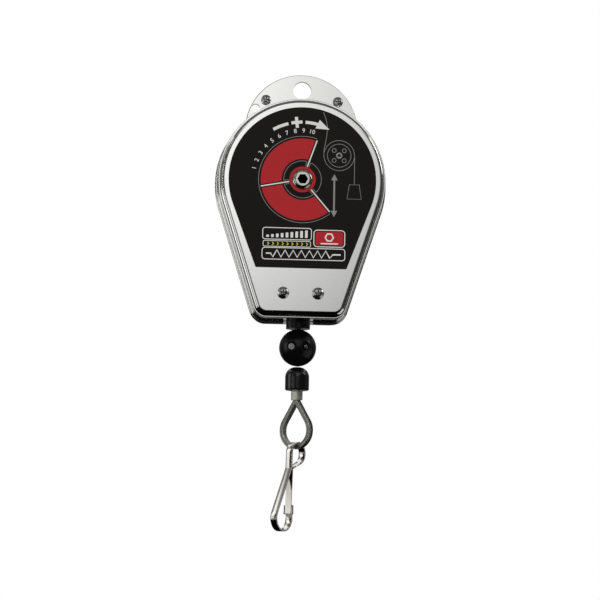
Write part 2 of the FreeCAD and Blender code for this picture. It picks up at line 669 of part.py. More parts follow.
# ---------------------------------------------------------------- shaft, bushes and ratchet
SHAFT_RUN = "shaft_diameter / 2 + running_clearance"
JOURNAL_RUN = "journal_diameter / 2 + running_clearance"
SHOULDER_Y = "drum_half_width + hub_reach + seat_clearance"
FRONT_WALL = f"{SHAFT_RUN} + bush_wall"
REAR_WALL = f"{JOURNAL_RUN} + bush_wall"
turned("front_bush", "y", [
    (SHAFT_RUN, "-case_depth"),
    (FRONT_WALL, "-case_depth"),
    (FRONT_WALL, f"-({INSIDE_FACE})"),
    (f"{FRONT_WALL} + bush_flange", f"-({INSIDE_FACE})"),
    (f"{FRONT_WALL} + bush_flange", f"-({INSIDE_FACE}) + flange_thickness"),
    (SHAFT_RUN, f"-({INSIDE_FACE}) + flange_thickness"),
], z=SHAFT_Z)
turned("rear_bush", "y", [
    (JOURNAL_RUN, "case_depth"),
    (REAR_WALL, "case_depth"),
    (REAR_WALL, INSIDE_FACE),
    (f"{REAR_WALL} + bush_flange", INSIDE_FACE),
    (f"{REAR_WALL} + bush_flange", f"{SHOULDER_Y} + seat_clearance"),
    (JOURNAL_RUN, f"{SHOULDER_Y} + seat_clearance"),
], z=SHAFT_Z)

KNOB_BASE = f"-({FRONT_FACE}) - seat_clearance"
KNOB_TOP = f"-({FRONT_FACE}) - knob_height"
CLIP_Y = "case_depth + seat_clearance"
shaft_body = turned("tension_shaft", "y", [
    ("0", KNOB_TOP),
    ("knob_diameter / 2 - knob_edge_in", KNOB_TOP, "knob_edge_round"),
    ("knob_diameter / 2", f"{KNOB_TOP} + knob_edge_down"),
    ("knob_diameter / 2", KNOB_BASE),
    ("shaft_diameter / 2", KNOB_BASE),
    ("shaft_diameter / 2", SHOULDER_Y),
    ("journal_diameter / 2", SHOULDER_Y),
    ("journal_diameter / 2", CLIP_Y),
    ("journal_diameter / 2 - circlip_groove", CLIP_Y),
    ("journal_diameter / 2 - circlip_groove", f"{CLIP_Y} + circlip_thickness"),
    ("journal_diameter / 2", f"{CLIP_Y} + circlip_thickness"),
    ("journal_diameter / 2", "case_depth + rear_overhang - shaft_bevel"),
    ("journal_diameter / 2 - shaft_bevel", "case_depth + rear_overhang"),
    ("0", "case_depth + rear_overhang"),
], z=SHAFT_Z)
HEX_CORNER = "hex_socket / sqrt(3)"
HEX_SIDE = f"{HEX_CORNER} / 2"
hexagon = outline(shaft_body, "hex_line", "XZ_Plane", [
    (HEX_CORNER, "0"),
    (HEX_SIDE, "hex_socket / 2"),
    (f"-{HEX_SIDE}", "hex_socket / 2"),
    (f"-{HEX_CORNER}", "0"),
    (f"-{HEX_SIDE}", "-hex_socket / 2"),
    (HEX_SIDE, "-hex_socket / 2"),
], f"-({KNOB_TOP})")
pocket(shaft_body, "hex_pocket", hexagon, "hex_depth")

turned("shaft_circlip", "y", ring("journal_diameter / 2 - circlip_groove + press_gap",
                                  "journal_diameter / 2 + circlip_reach",
                                  f"{CLIP_Y} + running_clearance",
                                  f"{CLIP_Y} + circlip_thickness - running_clearance"), z=SHAFT_Z)
RATCHET_FRONT = f"-({INSIDE_FACE}) + flange_thickness + seat_clearance"
RATCHET_REAR = f"{RATCHET_FRONT} + ratchet_thickness"
turned("thrust_washer", "y", ring("shaft_diameter / 2", f"{HUB_BORE} + hub_wall", RATCHET_REAR,
                                  f"{RATCHET_REAR} + washer_thickness - seat_clearance"), z=SHAFT_Z)


def ratchet():
    """Saw teeth round a disc, keyed on the shaft: each tooth rises slowly and drops at once."""
    count = int(number("ratchet_teeth"))
    tip = number("ratchet_radius")
    root = tip - number("ratchet_depth")
    points = []
    for tooth in range(count):
        start = 2 * math.pi * tooth / count
        points += [V(root * math.sin(start), 0, root * math.cos(start)),
                   V(tip * math.sin(start), 0, tip * math.cos(start))]
    points.reverse()
    wheel = Part.Face(Part.makePolygon(points + points[:1])).extrude(V(0, number("ratchet_thickness"), 0))
    wheel.translate(V(0, number(RATCHET_FRONT), shaft_z))
    bore = Part.makeCylinder(number("shaft_diameter") / 2, 2 * case_depth, V(0, -case_depth, shaft_z),
                             V(0, 1, 0))
    return wheel.cut(bore)


shaped("ratchet_wheel", ratchet())


def click_spring():
    """A leaf on edge whose lower tip stands on the steep face of a tooth, with its foot on the cover."""
    thick, reach = number("click_thickness"), number("click_length")
    foot = number("click_foot")
    depth = number("flange_thickness + ratchet_thickness")
    corner = V(number(LEAF_X), -number(INSIDE_FACE), shaft_z + number("seat_clearance"))
    leaf = Part.makeBox(thick, depth, reach, corner)
    plate = Part.makeBox(foot, thick, foot, corner + V(0, 0, reach - foot))
    hole = Part.makeCylinder(number("rivet_diameter") / 2, 2 * case_depth,
                             V(number(RIVET_X), -case_depth, number(RIVET_Z)), V(0, 1, 0))
    return leaf.fuse(plate).cut(hole).removeSplitter()


shaped("click_spring", click_spring())
turned("click_rivet", "y", [
    ("0", "-case_depth"),
    ("rivet_diameter / 2", "-case_depth"),
    ("rivet_diameter / 2", f"-({INSIDE_FACE}) + click_thickness"),
    ("rivet_diameter / 2 + rivet_head", f"-({INSIDE_FACE}) + click_thickness"),
    ("rivet_diameter / 2 + rivet_head - rivet_head_bevel",
     f"-({INSIDE_FACE}) + click_thickness + rivet_head_height"),
    ("0", f"-({INSIDE_FACE}) + click_thickness + rivet_head_height"),
], RIVET_X, "0", RIVET_Z)

# ---------------------------------------------------------------- drum and mainspring
WEB_Y = "drum_half_width - web_thickness"
FLANGE_IN = "rope_turns * turn_pitch / 2"
FLANGE_OUT = f"{FLANGE_IN} + drum_flange"
turned("cable_drum", "y", [
    (HUB_BORE, WEB_Y),
    (BARREL_BORE, WEB_Y),
    (BARREL_BORE, "-drum_half_width"),
    (GROOVE_RADIUS, "-drum_half_width"),
    (GROOVE_RADIUS, f"-({FLANGE_OUT})"),
    ("drum_flange_radius", f"-({FLANGE_OUT})"),
    ("drum_flange_radius", f"-({FLANGE_IN})"),
    (GROOVE_RADIUS, f"-({FLANGE_IN})"),
    (GROOVE_RADIUS, FLANGE_IN),
    ("drum_flange_radius", FLANGE_IN),
    ("drum_flange_radius", FLANGE_OUT),
    (GROOVE_RADIUS, FLANGE_OUT),
    (GROOVE_RADIUS, "drum_half_width"),
    (f"{HUB_BORE} + hub_wall", "drum_half_width"),
    (f"{HUB_BORE} + hub_wall", "drum_half_width + hub_reach"),
    (HUB_BORE, "drum_half_width + hub_reach"),
], z=SHAFT_Z)
turned("drum_lid", "y", [
    (HUB_BORE, "-drum_half_width"),
    (GROOVE_RADIUS, "-drum_half_width"),
    (GROOVE_RADIUS, f"-({DRUM_FRONT})"),
    (f"{HUB_BORE} + hub_wall", f"-({DRUM_FRONT})"),
    (f"{HUB_BORE} + hub_wall", f"-({DRUM_FRONT}) - hub_reach / 2"),
    (HUB_BORE, f"-({DRUM_FRONT}) - hub_reach / 2"),
], z=SHAFT_Z)
bush_rear = cylinder("drum_bush_rear", HUB_BORE, "web_thickness + hub_reach", y=WEB_Y, z=SHAFT_Z, along="y")
bush_front = cylinder("drum_bush_front", HUB_BORE, "lid_thickness + hub_reach / 2",
                      y=f"-({DRUM_FRONT}) - hub_reach / 2", z=SHAFT_Z, along="y")
bush_hole = cylinder("drum_bush_bore", SHAFT_RUN, "4 * drum_half_width", y="-2 * drum_half_width",
                     z=SHAFT_Z, along="y")
keep(cut("drum_bushes", fuse("drum_bush_rings", [bush_rear, bush_front]), [bush_hole]), "drum_bushes")


def lid_screws():
    """Three small screws through the lid's rim, into the barrel's wall."""
    screw = pan_screw(number("lid_screw"), number("lid_screw_head"), 6 * number("lid_thickness"))
    reach = number(f"{GROOVE_RADIUS} - barrel_wall / 2")
    made = []
    for step in range(3):
        angle = math.radians(90 + 120 * step)
        point = V(reach * math.cos(angle), -number(DRUM_FRONT), shaft_z + reach * math.sin(angle))
        made.append(facing(screw, 1, point))
    return Part.makeCompound(made)


shaped("lid_screws", lid_screws())

# the mainspring's strip lies towards the drum's front, clear of the web
spring_y = number("lid_side - drum_half_width")
spring_start = number("shaft_diameter / 2 + spring_start_out")
spring_end = number(f"{BARREL_BORE} - spring_strip - spring_end_gap")
spring_pitch = (spring_end - spring_start) / number("spring_turns")


def spiral_edges(start):
    """Half circles that grow from turn to turn, counter-clockwise seen from the front."""
    edges = []
    for half in range(int(2 * number("spring_turns"))):
        radius = start + half * spring_pitch / 2
        way = 1 if half % 2 == 0 else -1
        centre = V(-way * spring_pitch / 4, spring_y, shaft_z)
        reach = V(way * radius, 0, 0)
        edges.append(Part.Arc(centre + reach, centre + V(0, 0, way * radius), centre - reach).toShape())
    return edges


def mainspring():
    inner = spiral_edges(spring_start)
    outer = spiral_edges(spring_start + number("spring_strip"))
    ends = [Part.LineSegment(inner[0].Vertexes[0].Point, outer[0].Vertexes[0].Point).toShape(),
            Part.LineSegment(inner[-1].Vertexes[1].Point, outer[-1].Vertexes[1].Point).toShape()]
    line = Part.Wire(Part.__sortEdges__(inner + outer + ends))
    return Part.Face(line).extrude(V(0, number("spring_width"), 0))


shaped("mainspring", mainspring())
PIN_Y = "spring_width / 2 - drum_half_width + lid_side"
keep(cylinder("inner_anchor_pin", "anchor_pin / 2", "shaft_diameter / 2 + inner_pin_past", "0", PIN_Y,
              f"{SHAFT_Z} - anchor_pin / 2 - seat_clearance", "x"), "inner_anchor_pin")
keep(cylinder("outer_anchor_pin", "anchor_pin / 2", "barrel_wall + outer_pin_inside - outer_pin_sunk",
              f"{BARREL_BORE} - outer_pin_inside", PIN_Y,
              f"{SHAFT_Z} + anchor_pin / 2", "x"), "outer_anchor_pin")

# ---------------------------------------------------------------- rope
rope_radius = number("rope_diameter") / 2
pitch_radius = number("rope_pitch_radius")


def rope_rings():
    """The rope's turns on the drum, side by side, each drawn as a closed ring."""
    count = int(number("rope_turns"))
    rings = []
    for turn in range(count):
        y = (turn - (count - 1) / 2) * number("turn_pitch")
        rings.append(Part.makeTorus(pitch_radius + number("joint_gap"), rope_radius, V(0, y, shaft_z),
                                    V(0, 1, 0)))
    return Part.makeCompound(rings)


shaped("rope_on_drum", rope_rings())
keep(cylinder("rope_end_sleeve", "rope_diameter", "1.5 * rope_diameter", "0", FLANGE_OUT,
              f"{SHAFT_Z} + rope_pitch_radius + rope_diameter", "y"), "rope_end_sleeve")


def in_plane(x, z):
    return V(x, 0, z)


def side_edges(start, arcs, finish, off=0.0):
    """Straight runs and tangent arcs in the XZ plane, moved off to the left of the way they run.
    An arc is (centre, radius, first angle, last angle) in degrees, from +X towards +Z."""
    def on_arc(arc, angle):
        centre, radius, first, last = arc
        reach = radius - off if last > first else radius + off
        return centre + in_plane(math.cos(math.radians(angle)), math.sin(math.radians(angle))) * reach

    def beside(point, other, sign):
        run = (other - point) * sign
        run.normalize()
        return point + in_plane(-run.z, run.x) * off

    def bare(arc, angle):
        centre, radius = arc[0], arc[1]
        return centre + in_plane(math.cos(math.radians(angle)), math.sin(math.radians(angle))) * radius

    here = beside(start, bare(arcs[0], arcs[0][2]) if arcs else finish, 1)
    edges = []
    for arc in arcs:
        begin, middle, end = [on_arc(arc, angle) for angle in (arc[2], (arc[2] + arc[3]) / 2, arc[3])]
        if (begin - here).Length > 1e-4:
            edges.append(Part.LineSegment(here, begin).toShape())
        edges.append(Part.Arc(begin, middle, end).toShape())
        here = end
    last = beside(finish, bare(arcs[-1], arcs[-1][3]) if arcs else start, -1)
    if (last - here).Length > 1e-4:
        edges.append(Part.LineSegment(here, last).toShape())
    return edges


def strip(start, arcs, finish, thickness, width):
    """A bent strip: its middle line as above, its thickness in the plane, its width along Y."""
    left = side_edges(start, arcs, finish, thickness / 2)
    right = side_edges(start, arcs, finish, -thickness / 2)
    ends = [Part.LineSegment(right[0].Vertexes[0].Point, left[0].Vertexes[0].Point).toShape(),
            Part.LineSegment(right[-1].Vertexes[-1].Point, left[-1].Vertexes[-1].Point).toShape()]
    line = Part.Wire(Part.__sortEdges__(left + right + ends))
    made = Part.Face(line).extrude(V(0, width, 0))
    made.translate(V(0, -width / 2, 0))
    return made


TUBE_TOLERANCE = 0.002  # of the volume


def tube(edges, label):
    """A round rope along a line of tangent runs; its volume is its section times its length."""
    line = Part.Wire(edges)
    first = edges[0]
    start = first.valueAt(first.FirstParameter)
    profile = Part.Wire(Part.makeCircle(rope_radius, start, first.tangentAt(first.FirstParameter)))
    made = line.makePipeShell([profile], True, True)
    expected = math.pi * rope_radius ** 2 * line.Length
    if abs(made.Volume / expected - 1) > TUBE_TOLERANCE:
        raise ValueError(f"{label} has the wrong volume: {made.Volume:.3f}, not {expected:.3f}")
    return made


guide_rope_end = number(f"{GUIDE_BOTTOM} + guide_rope_end")
ball_rope_top = number(f"{BALL_Z} + ball_diameter / 2 - ball_rope_start")
cap_top = number(CAP_TOP)
swivel_z = cap_top + number("cap_gap") / 2


RUN_START = 14.5  # rope's radii from the drum's tangent point


def inner_run():
    """From the drum's left side down into the guide, where it bends straight down."""
    drop, bend = number("bend_drop"), number("bend_radius")
    slant = math.asin(pitch_radius / drop)
    corner = in_plane(0, shaft_z - drop)
    up = in_plane(-math.sin(slant), math.cos(slant))
    clear = RUN_START * rope_radius
    start = corner + up * (math.sqrt(drop ** 2 - pitch_radius ** 2) - clear)
    centre = in_plane(-bend, corner.z - bend * math.tan(slant / 2))
    arcs = [(centre, bend, math.degrees(slant), 0)]
    return tube(side_edges(start, arcs, in_plane(0, guide_rope_end)), "rope_inner_run")


def straight_rope(top, bottom):
    return Part.makeCylinder(rope_radius, top - bottom, V(0, 0, bottom))


shaped("rope_inner_run", inner_run())
gap = number("joint_gap")
shaped("rope_run", straight_rope(guide_rope_end - gap, ball_rope_top))
shaped("rope_in_ball", straight_rope(ball_rope_top - gap, swivel_z))

# ---------------------------------------------------------------- ball stop


def ball_half(label, turn):
    """Half of the ball, flat on the parting plane, with the rope's channel and two screw holes."""
    half = doc.addObject("Part::Sphere", label + "_ball")
    bind(half, "Radius", "ball_diameter / 2")
    half.Angle3 = 180
    tools = [cylinder(label + "_channel", "rope_diameter / 2 + joint_gap", "2 * ball_diameter",
                      z="-ball_diameter")]
    for way, side_name in ((-1, "left"), (1, "right")):
        across = f"{way} * ball_screw_out"
        tools.append(cylinder(f"{label}_recess_{side_name}", "ball_recess / 2", "ball_diameter", across,
                              "ball_recess_floor", "0", "y"))
        tools.append(cylinder(f"{label}_hole_{side_name}", "ball_screw / 2 + hole_clearance / 2",
                              "ball_diameter", across, "-ball_diameter / 2", "0", "y"))
    made = keep(cut(label, half, tools), label)
    made.Placement = FreeCAD.Placement(V(0, 0, 0), FreeCAD.Rotation(V(0, 0, 1), turn))
    bind(made, ".Placement.Base.z", BALL_Z)


ball_half("ball_rear", 0)
ball_half("ball_front", 180)
ball_floor = number("ball_recess_floor")
ball_nut_height = NUT_HEIGHT * number("ball_screw")
ball_screw = pan_screw(number("ball_screw"), number("ball_screw_head"),
                       2 * ball_floor + ball_nut_height + number("ball_screw_past"))
ball_nut = nut(number("ball_nut"), number("ball_screw"), ball_nut_height)
screw_points = [V(way * number("ball_screw_out"), -way * ball_floor, number(BALL_Z)) for way in (1, -1)]
nut_points = [V(point.x, -point.y, point.z) for point in screw_points]
shaped("ball_screws", Part.makeCompound([facing(ball_screw, way, point)
                                         for way, point in zip((1, -1), screw_points)]))
shaped("ball_nuts", Part.makeCompound([facing(ball_nut, way, point)
                                       for way, point in zip((-1, 1), nut_points)]))

# ---------------------------------------------------------------- end cap, sleeve, liner and loop
turned("end_cap", "z", [
    ("rope_diameter / 2 + seat_clearance", "0"),
    (f"cap_diameter / 2 - {CAP_DOME}", "0", f"-{CAP_DOME}"),
    ("cap_diameter / 2", f"-{CAP_DOME}"),
    ("cap_diameter / 2", "-cap_height + cap_lip_up"),
    ("cap_diameter / 2 - cap_lip_in", "-cap_height"),
    ("cap_diameter / 2 - cap_wall", "-cap_height"),
    ("cap_diameter / 2 - cap_wall", f"-{CAP_DOME}"),
    ("rope_diameter / 2 + seat_clearance", f"-{CAP_DOME}"),
], z=CAP_TOP)

lean = math.radians(number("loop_lean"))
spread = number("strand_spread")
bend = number("strand_bend")
loop_radius = number("loop_radius")
ferrule_bottom = number(FERRULE_BOTTOM)
ferrule_top = ferrule_bottom + number("ferrule_length")
knee_z = ferrule_bottom - bend * math.tan(lean / 2) - number("joint_gap")
loop_z = knee_z + spread / math.tan(lean) - loop_radius / math.sin(lean)
loop_turn = FreeCAD.Rotation(V(0, 0, 1), -number("loop_turn"))
hook_turn = FreeCAD.Rotation(V(0, 0, 1), 90 - number("loop_turn"))


def turned_about_rope(shape, rotation):
    made = shape.copy()
    made.Placement = FreeCAD.Placement(V(0, 0, 0), rotation).multiply(made.Placement)
    return made


def rope_loop():
    """Down from the cap's top, aside into the sleeve, round the liner and back up into the sleeve."""
    sway = math.degrees(math.acos(1 - spread / 2 / bend))
    step = 2 * bend * math.sin(math.radians(sway))
    top = cap_top - number(f"{CAP_DOME} - sway_start")
    leg = math.degrees(lean)
    knee = knee_z + bend * math.tan(lean / 2)
    arcs = [
        (in_plane(-bend, top), bend, 0, -sway),
        (in_plane(bend - spread, top - step), bend, 180 - sway, 180),
        (in_plane(-bend - spread, knee), bend, 0, -leg),
        (in_plane(0, loop_z), loop_radius, 180 - leg, 360 + leg),
        (in_plane(bend + spread, knee), bend, 180 + leg, 180),
    ]
    start, finish = in_plane(0, swivel_z - gap), in_plane(spread, ferrule_top + number("strand_past"))
    return tube(side_edges(start, arcs, finish), "rope_loop")


shaped("rope_loop", turned_about_rope(rope_loop(), loop_turn))


def ferrule():
    """An oval sleeve pressed over the two strands."""
    deep = number("ferrule_depth") / 2
    out = number("ferrule_width") / 2 - deep
    low = V(0, 0, ferrule_bottom)
    tall = number("ferrule_length")
    made = Part.makeBox(2 * out, 2 * deep, tall, V(-out, -deep, ferrule_bottom))
    for way in sides:
        made = made.fuse(Part.makeCylinder(deep, tall, low + V(way * out, 0, 0)))
    made = made.removeSplitter()
    for way in sides:
        hole = Part.makeCylinder(rope_radius + gap, 2 * tall, low + V(way * spread, 0, -tall / 2))
        made = made.cut(hole)
    return made


shaped("ferrule", turned_about_rope(ferrule(), loop_turn))


def teardrop(grow, low_y, high_y):
    """The loop's outline grown by a width, as a plate from low_y to high_y."""
    reach = loop_radius + grow
    centre = V(0, low_y, loop_z)
    out = V(math.cos(lean), 0, math.sin(lean)) * reach
    back = V(-out.x, 0, out.z)
    apex = centre + V(0, 0, reach / math.sin(lean))
    edges = [
        Part.LineSegment(apex, centre + out).toShape(),
        Part.Arc(centre + out, centre - V(0, 0, reach), centre + back).toShape(),
        Part.LineSegment(centre + back, apex).toShape(),
    ]
    return Part.Face(Part.Wire(edges)).extrude(V(0, high_y - low_y, 0))


def thimble():
    """The loop's liner, a channel open outward: a floor inside the rope, and a rim either side of it."""
    half = number("thimble_width") / 2
    skin = number("thimble_sheet")
    inside = teardrop(-rope_radius - gap - skin, -half - 1, half + 1)
    made = teardrop(-rope_radius - gap, -half, half)
    for low in (-half, half - skin):
        made = made.fuse(teardrop(number("thimble_rim"), low, low + skin))
    made = made.cut(inside)
    wide = 4 * loop_radius
    top = Part.makeBox(wide, wide, wide, V(-wide / 2, -wide / 2, ferrule_bottom - number("seat_clearance")))
    return made.cut(top).removeSplitter()


shaped("thimble", turned_about_rope(thimble(), loop_turn))

# ---------------------------------------------------------------- snap hook
strip_thickness = number("strip_thickness")
strip_width = number("strip_width")
eye_radius = number("eye_radius")
neck = number("neck_drop")
neck_x = (number("neck_gap") + strip_thickness) / 2
hook_radius = number("hook_radius")
hook_drop = number("hook_drop")
neck_bend = strip_thickness * 1.5
liner_floor_z = loop_z - loop_radius + rope_radius + gap + number("thimble_sheet")
liner_inner_radius = loop_radius - rope_radius - gap - number("thimble_sheet")
strip_rise = liner_inner_radius - math.sqrt(liner_inner_radius ** 2 - (strip_width / 2) ** 2)
eye_inner = eye_radius - strip_thickness / 2
eye_z = (liner_floor_z + strip_rise + number("hook_clearance")
         - math.sqrt(eye_inner ** 2 - (number("thimble_width") / 2) ** 2))
eye_aside = number("eye_aside")
eye_left, eye_right = (math.asin(eye_radius / math.hypot(neck_x + way * eye_aside, neck))
                       - math.atan((neck_x + way * eye_aside) / neck) for way in (1, -1))
leg_drop = hook_drop - neck
leg_lean = math.asin(hook_radius / math.hypot(neck_x, leg_drop)) - math.atan(neck_x / leg_drop)
along_tip = in_plane(-math.sin(leg_lean), math.cos(leg_lean))
into_hook = in_plane(-math.cos(leg_lean), -math.sin(leg_lean))
tip_root = in_plane(hook_radius * math.cos(leg_lean), hook_radius * math.sin(leg_lean) - hook_drop)
leg_run = math.sqrt(neck_x ** 2 + leg_drop ** 2 - hook_radius ** 2)
gate_end = number("gate_overlap")
gate_off = strip_thickness / 2 + number("gate_clearance") + number("gate_thickness") / 2
gate_off *= (leg_run - gate_end) / (leg_run - number("latch_height"))
neck_edge = strip_thickness / 2 * math.sin(eye_right)
gate_pivot = in_plane(neck_x, -neck - neck_edge - number("gate_thickness") / 2 - number("gate_clearance"))


def on_hook(shape):
    """Puts a shape drawn about the neck's middle, at the eye's height, where the hook hangs with its lean."""
    made = shape.copy()
    lean_over = FreeCAD.Rotation(V(0, 1, 0), number("hook_swing"))
    made.translate(V(-eye_aside, 0, 0))
    made.Placement = FreeCAD.Placement(V(0, 0, eye_z), hook_turn.multiply(lean_over)).multiply(made.Placement)
    return made


def hook_body():
    """One bent strip: the eye, the neck, the long leg, the round bottom and the tip with its cheeks."""
    left_deg, right_deg, leg_deg = map(math.degrees, (eye_left, eye_right, leg_lean))
    turn = eye_left + leg_lean
    setback = neck_bend * math.tan(turn / 2)
    neck_point = in_plane(-neck_x, -neck)
    up_eye = in_plane(-math.sin(eye_left), math.cos(eye_left))
    into_bend = in_plane(-math.cos(eye_left), -math.sin(eye_left))
    centre = neck_point + up_eye * setback + into_bend * neck_bend
    arcs = [
        (in_plane(eye_aside, 0), eye_radius, -right_deg, 180 + left_deg),
        (centre, neck_bend, left_deg, -leg_deg),
        (in_plane(0, -hook_drop), hook_radius, 180 - leg_deg, 360 + leg_deg),
    ]
    tip = tip_root + along_tip * number("latch_height")
    made = strip(in_plane(neck_x, -neck), arcs, tip, strip_thickness, strip_width)
    cheek = number("latch_cheek")
    deep = gate_off + number("gate_thickness")
    low, high = gate_end - number("latch_below"), number("latch_height - latch_above")
    outside = -strip_thickness / 2
    corners = [tip_root + along_tip * up + into_hook * across
               for up, across in ((low, outside), (high, outside), (high, deep), (low, deep))]
    plate = Part.Face(Part.makePolygon(corners + corners[:1])).extrude(V(0, cheek, 0))
    for base in (strip_width / 2, -strip_width / 2 - cheek):
        side_plate = plate.copy()
        side_plate.translate(V(0, base, 0))
        made = made.fuse(side_plate)
    return made.removeSplitter()


def hook_gate():
    """The thinned leg that springs inward at the neck, with a round root."""
    finish = tip_root + along_tip * gate_end + into_hook * gate_off
    made = strip(gate_pivot, [], finish, number("gate_thickness"), number("gate_width"))
    root = Part.makeCylinder(number("gate_thickness") / 2, number("gate_width"),
                             gate_pivot - V(0, number("gate_width") / 2, 0), V(0, 1, 0))
    return made.fuse(root).removeSplitter()


shaped("hook_body", on_hook(hook_body()))
shaped("hook_gate", on_hook(hook_gate()))

# ---------------------------------------------------------------- check and write
doc.recompute()
for thing in doc.Objects:
    if "Invalid" in thing.State or "Error" in thing.State:
        raise ValueError(f"{thing.Name} failed: {thing.State}")
for node in nodes:
    shape = node.Shape
    if shape.isNull() or not shape.isValid() or shape.Volume <= 0:
        raise ValueError(f"{node.Label} is not a sound solid")
    shape.exportStep(f"parts/{node.Label}.step")
    low, high = shape.BoundBox.ZMin, shape.BoundBox.ZMax
    print(f"{node.Label}: {len(shape.Solids)} solid(s), {shape.Volume:.1f} mm3, z {low:.2f} to {high:.2f}")
pivot = on_hook(Part.Vertex(gate_pivot)).Point
print(f"eye centre z {eye_z:.4f}, gate pivot {pivot.x:.4f} {pivot.y:.4f} {pivot.z:.4f}, loop z {loop_z:.4f}")
print(f"rope bends: guide {number('bend_radius')}, sleeve {bend}, loop {loop_radius}")
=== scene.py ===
"""A spring tool balancer: the looks of its pieces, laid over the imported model."""
import math

import bmesh
import bpy
from mathutils import Matrix, Vector


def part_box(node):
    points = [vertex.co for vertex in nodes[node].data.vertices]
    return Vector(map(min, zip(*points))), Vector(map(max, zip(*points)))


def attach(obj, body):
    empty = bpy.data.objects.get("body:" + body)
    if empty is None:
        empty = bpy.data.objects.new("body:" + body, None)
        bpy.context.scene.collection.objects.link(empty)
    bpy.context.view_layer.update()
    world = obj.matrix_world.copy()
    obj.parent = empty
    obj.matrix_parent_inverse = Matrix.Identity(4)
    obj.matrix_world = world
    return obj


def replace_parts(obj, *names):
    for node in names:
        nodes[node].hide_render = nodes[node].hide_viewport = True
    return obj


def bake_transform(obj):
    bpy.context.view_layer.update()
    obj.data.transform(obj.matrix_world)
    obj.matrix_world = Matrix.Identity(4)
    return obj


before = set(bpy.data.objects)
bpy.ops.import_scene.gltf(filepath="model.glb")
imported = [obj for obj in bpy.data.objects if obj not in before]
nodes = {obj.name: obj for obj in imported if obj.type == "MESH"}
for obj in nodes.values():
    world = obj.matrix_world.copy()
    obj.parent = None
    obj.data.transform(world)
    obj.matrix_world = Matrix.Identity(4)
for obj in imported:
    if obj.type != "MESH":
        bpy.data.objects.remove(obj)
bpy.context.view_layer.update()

MM = 0.001
scene = bpy.context.scene
scene.view_settings.view_transform = "Standard"


def middle(node):
    """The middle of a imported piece's box."""
    low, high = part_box(node)
    return (low + high) / 2


# ---------------------------------------------------------------- camera
AIM = Vector((0.99, 0, -139.19)) * MM
CAMERA_TURN, CAMERA_RISE, CAMERA_ROLL = map(math.radians, (-3.354, -7.761, 0.98))
CAMERA_DISTANCE = 1.1
back = Vector((
    math.sin(CAMERA_TURN) * math.cos(CAMERA_RISE),
    -math.cos(CAMERA_TURN) * math.cos(CAMERA_RISE),
    math.sin(CAMERA_RISE),
))
camera = bpy.data.objects.new("camera", bpy.data.cameras.new("camera"))
scene.collection.objects.link(camera)
camera.data.lens = 101.65
camera.data.sensor_width = 36
level = (-back).to_track_quat("-Z", "Y")
camera.rotation_mode = "QUATERNION"
camera.rotation_quaternion = level @ Matrix.Rotation(CAMERA_ROLL, 3, "Z").to_quaternion()
camera.location = AIM + back * CAMERA_DISTANCE
scene.camera = camera


# ---------------------------------------------------------------- finishes
def linear(text):
    """An sRGB hex colour as linear red, green, blue and alpha."""
    parts = [int(text[i:i + 2], 16) / 255 for i in (1, 3, 5)]
    return [p / 12.92 if p <= 0.04045 else ((p + 0.055) / 1.055) ** 2.4 for p in parts] + [1]


def add(tree, kind, inputs=None, **settings):
    """A node with its settings; each input is a value, or a socket to link from."""
    made = tree.nodes.new("ShaderNode" + kind)
    for name, value in settings.items():
        setattr(made, name, value)
    for name, value in (inputs or {}).items():
        if isinstance(value, bpy.types.NodeSocket):
            tree.links.new(value, made.inputs[name])
        else:
            made.inputs[name].default_value = value
    return made


# the near-black tone that the painted shade in recesses darkens towards
PAINTED_SHADE_TONE = "#0c0b0a"
RINGS_AT_ONE = 20 / math.tau  # rings that the wave texture draws in one unit at scale 1


